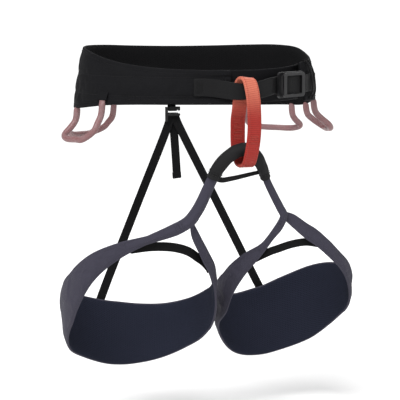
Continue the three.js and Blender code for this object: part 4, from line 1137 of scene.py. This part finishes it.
# ================================================================ gear loops
GEAR = {
    "right_front": {"patch": "b", "a": [-158.5, 8, -22], "b": [-145.8, -47.5, -15], "ca": [-177, 4, -62.5], "cb": [-163.0, -50, -60.5], "round": (0.86, 0.62)},
    "right_rear": {"a": [-147.5, 46.5, -24], "b": [-83.5, 98.5, -28], "ca": [-156, 58, -64], "cb": [-97, 110, -68], "round": (0.75, 0.6)},
    "left_rear": {"a": [134.5, 31, -30], "b": [91, 91.5, -33], "ca": [146, 38, -65], "cb": [104, 101, -66]},
    "left_front": {"a": [134.6, -6, -27], "b": [124.6, -51, -20], "ca": [155, -5, -61], "cb": [144.6, -48, -57]},
}
us = np.arange(0, 1.0001, 0.0005)
mids = np.array([belt_mid.raw(x) for x in us])
for key, g_ in GEAR.items():
    g_ = dict(g_)
    ub = {}
    for end in "ab":
        d = np.hypot(mids[:, 0] - g_[end][0], mids[:, 1] - g_[end][1])
        u = float(us[int(np.argmin(d))])
        ub[end] = u
        stn = catmull(BELT, np.array([u * (len(BELT) - 1)]))[0]
        if g_.get("patch") == end:
            p, o = belt_at(u, (g_[end][2] - stn[3]) / (stn[2] - stn[3]))
            g_[end] = p + o * 1.3
        else:
            p, o = belt_at(u, 0)
            g_[end] = p + o * (-2.4) + np.array([0, 0, -1.5])
    a, b, ca, cb = (np.array(g_[k], float) for k in ("a", "b", "ca", "cb"))

    def L3(p, q, f, za, zb, fz):
        r = lerp(p, q, f)
        r[2] = lerp(za, zb, fz)
        return r

    oa, ob_ = belt_at(ub["a"], 0.1)[1], belt_at(ub["b"], 0.1)[1]
    ha = np.array([0, 0, 6.5 if g_.get("patch") != "a" else 3.0])
    hb = np.array([0, 0, 6.5 if g_.get("patch") != "b" else 0.6])
    down = lambda p, c, f: L3(p, c, f, p[2], c[2], 0.35 + 0.4 * f)
    ra, rb = g_.get("round", (0.8, 0.8))
    P = [a + ha, a, down(a, ca, 0.10), L3(a, ca, 0.36, a[2], ca[2], 0.60), L3(a, ca, ra, a[2], ca[2], 0.5 + 0.45 * ra), lerp(ca, cb, 0.5 * (1 - ra) + 0.06),
         lerp(ca, cb, 0.5) + np.array([0, 0, -0.6]), lerp(ca, cb, 1 - 0.5 * (1 - rb) - 0.06), L3(b, cb, rb, b[2], cb[2], 0.5 + 0.45 * rb), L3(b, cb, 0.36, b[2], cb[2], 0.60), down(b, cb, 0.10), b, b + hb]
    path = Curve(P)
    body = "gear_" + key
    n_ = int(path.length / 2.0)
    s_ = np.linspace(0, 1, n_)
    PP, TT, UU, VV = frames(path, s_)
    R = []
    for i, x in enumerate(s_):
        q = np.arange(20) / 20 * 2 * math.pi
        ring = (np.cos(q)[:, None] * UU[i] + np.sin(q)[:, None] * VV[i]) * (3.95 - 0.25 * math.sin(math.pi * x) + 0.04 * math.sin(x * path.length / 4.2))
        for d, o in ((x * path.length, oa), ((1 - x) * path.length, ob_)):   # flat ends, sewn into the belt
            if d < 7.5:
                k = max(0.0, min(1.0, (d - 1) / 6.5))
                k = k * k * (3 - 2 * k)
                w_ = unit(np.cross(o, [0, 0, 1.0]))
                ring = ring + o * (ring @ o)[:, None] * (lerp(0.3, 1.0, k) - 1) + w_ * (ring @ w_)[:, None] * (lerp(1.12, 1.0, k) - 1)
        R.append(PP[i] + ring)
    gl = rings_body("gear_tube_" + key, np.array(R), M["gear"], along=s_ * path.length)
    subdivide(gl, 1)
    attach(gl, body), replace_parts(gl, "gear_loop_" + key), gl
    if g_.get("patch"):
        u = ub[g_["patch"]]
        rows = [belt_F([u - 0.0], [v])[0, 0] for v in (0.12, 0.18, 0.24, 0.31)]
        dd = belt_F([u + 0.0085], [0.2])[0, 0] - belt_F([u - 0.0085], [0.2])[0, 0]
        _, o = belt_at(u, 0.2)
        pt = strap("gear_loop_patch_tape", Curve([rows[0] + o * 3.0, rows[1] + o * 2.9, rows[2] + o * 2.1, rows[3] + o * 0.1]), dd, float(np.linalg.norm(dd)), 0.9, M["belt"], pitch=1.2)
        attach(pt, "waist"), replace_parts(pt, "gear_loop_patch"), pt

# ================================================================ camera, light, floor
sc = bpy.context.scene
cam = bpy.data.objects.new("camera", bpy.data.cameras.new("camera"))
sc.collection.objects.link(cam)
R_, U_ = Vector((0.92718, -0.37461, 0)), Vector((0.0489, 0.1210, 0.9914))
Bk = R_.cross(U_).normalized()
U_ = Bk.cross(R_).normalized()
m4 = Matrix(((R_.x, U_.x, Bk.x, -0.8296), (R_.y, U_.y, Bk.y, -2.0373), (R_.z, U_.z, Bk.z, 0.1462), (0, 0, 0, 1)))
cam.matrix_world = m4
cam.data.sensor_width, cam.data.lens = 36, 166.38
cam.data.clip_start, cam.data.clip_end = 0.05, 200
sc.camera = cam


def area(name, loc, target, size, power, colour=(1, 1, 1)):
    l = bpy.data.lights.new(name, "AREA")
    l.shape, l.size, l.energy, l.color = "DISK", size, power, colour
    o = bpy.data.objects.new(name, l)
    sc.collection.objects.link(o)
    o.location = loc
    o.rotation_euler = (Vector(target) - Vector(loc)).to_track_quat("-Z", "Y").to_euler()
    return o


sun = bpy.data.lights.new("key", "SUN")
sun.energy, sun.angle = 3.4, math.radians(38)
so = bpy.data.objects.new("key", sun)
sc.collection.objects.link(so)
so.rotation_euler = Vector((1.15, 1.05, -1.75)).to_track_quat("-Z", "Y").to_euler()
area("fill", (1.9, -1.5, 0.5), (0, 0, -0.2), 1.2, 9)
area("rim", (0.9, 1.6, 1.5), (0, 0, -0.1), 1.0, 16)
w = bpy.data.worlds.new("studio")
sc.world = w
w.use_nodes = True
w.node_tree.nodes["Background"].inputs[0].default_value = (1, 1, 1, 1)
w.node_tree.nodes["Background"].inputs[1].default_value = 0.42
bpy.ops.mesh.primitive_plane_add(size=120, location=(0, 0, cad_box[0][2] - 0.06))
floor = bpy.context.object
floor.name = "floor"
fm, nt, b = base_mat("pale_floor")
g = G(nt)
nv = g.noise(g.node("ShaderNodeTexCoord").outputs["Object"], 3.0)
nt.links.new(g.mix(nv, (0.93, 0.93, 0.93), (0.96, 0.96, 0.96)), b.inputs["Base Color"])
b.inputs["Roughness"].default_value = 0.9
b.inputs["Specular IOR Level"].default_value = 0.1
floor.data.materials.append(fm)
floor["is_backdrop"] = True
sc.view_settings.view_transform = "Standard"

lo, hi = cad_box
vl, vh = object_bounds()
{"cad": [list(map(float, lo)), list(map(float, hi))], "visual": [list(map(float, vl)), list(map(float, vh))]}
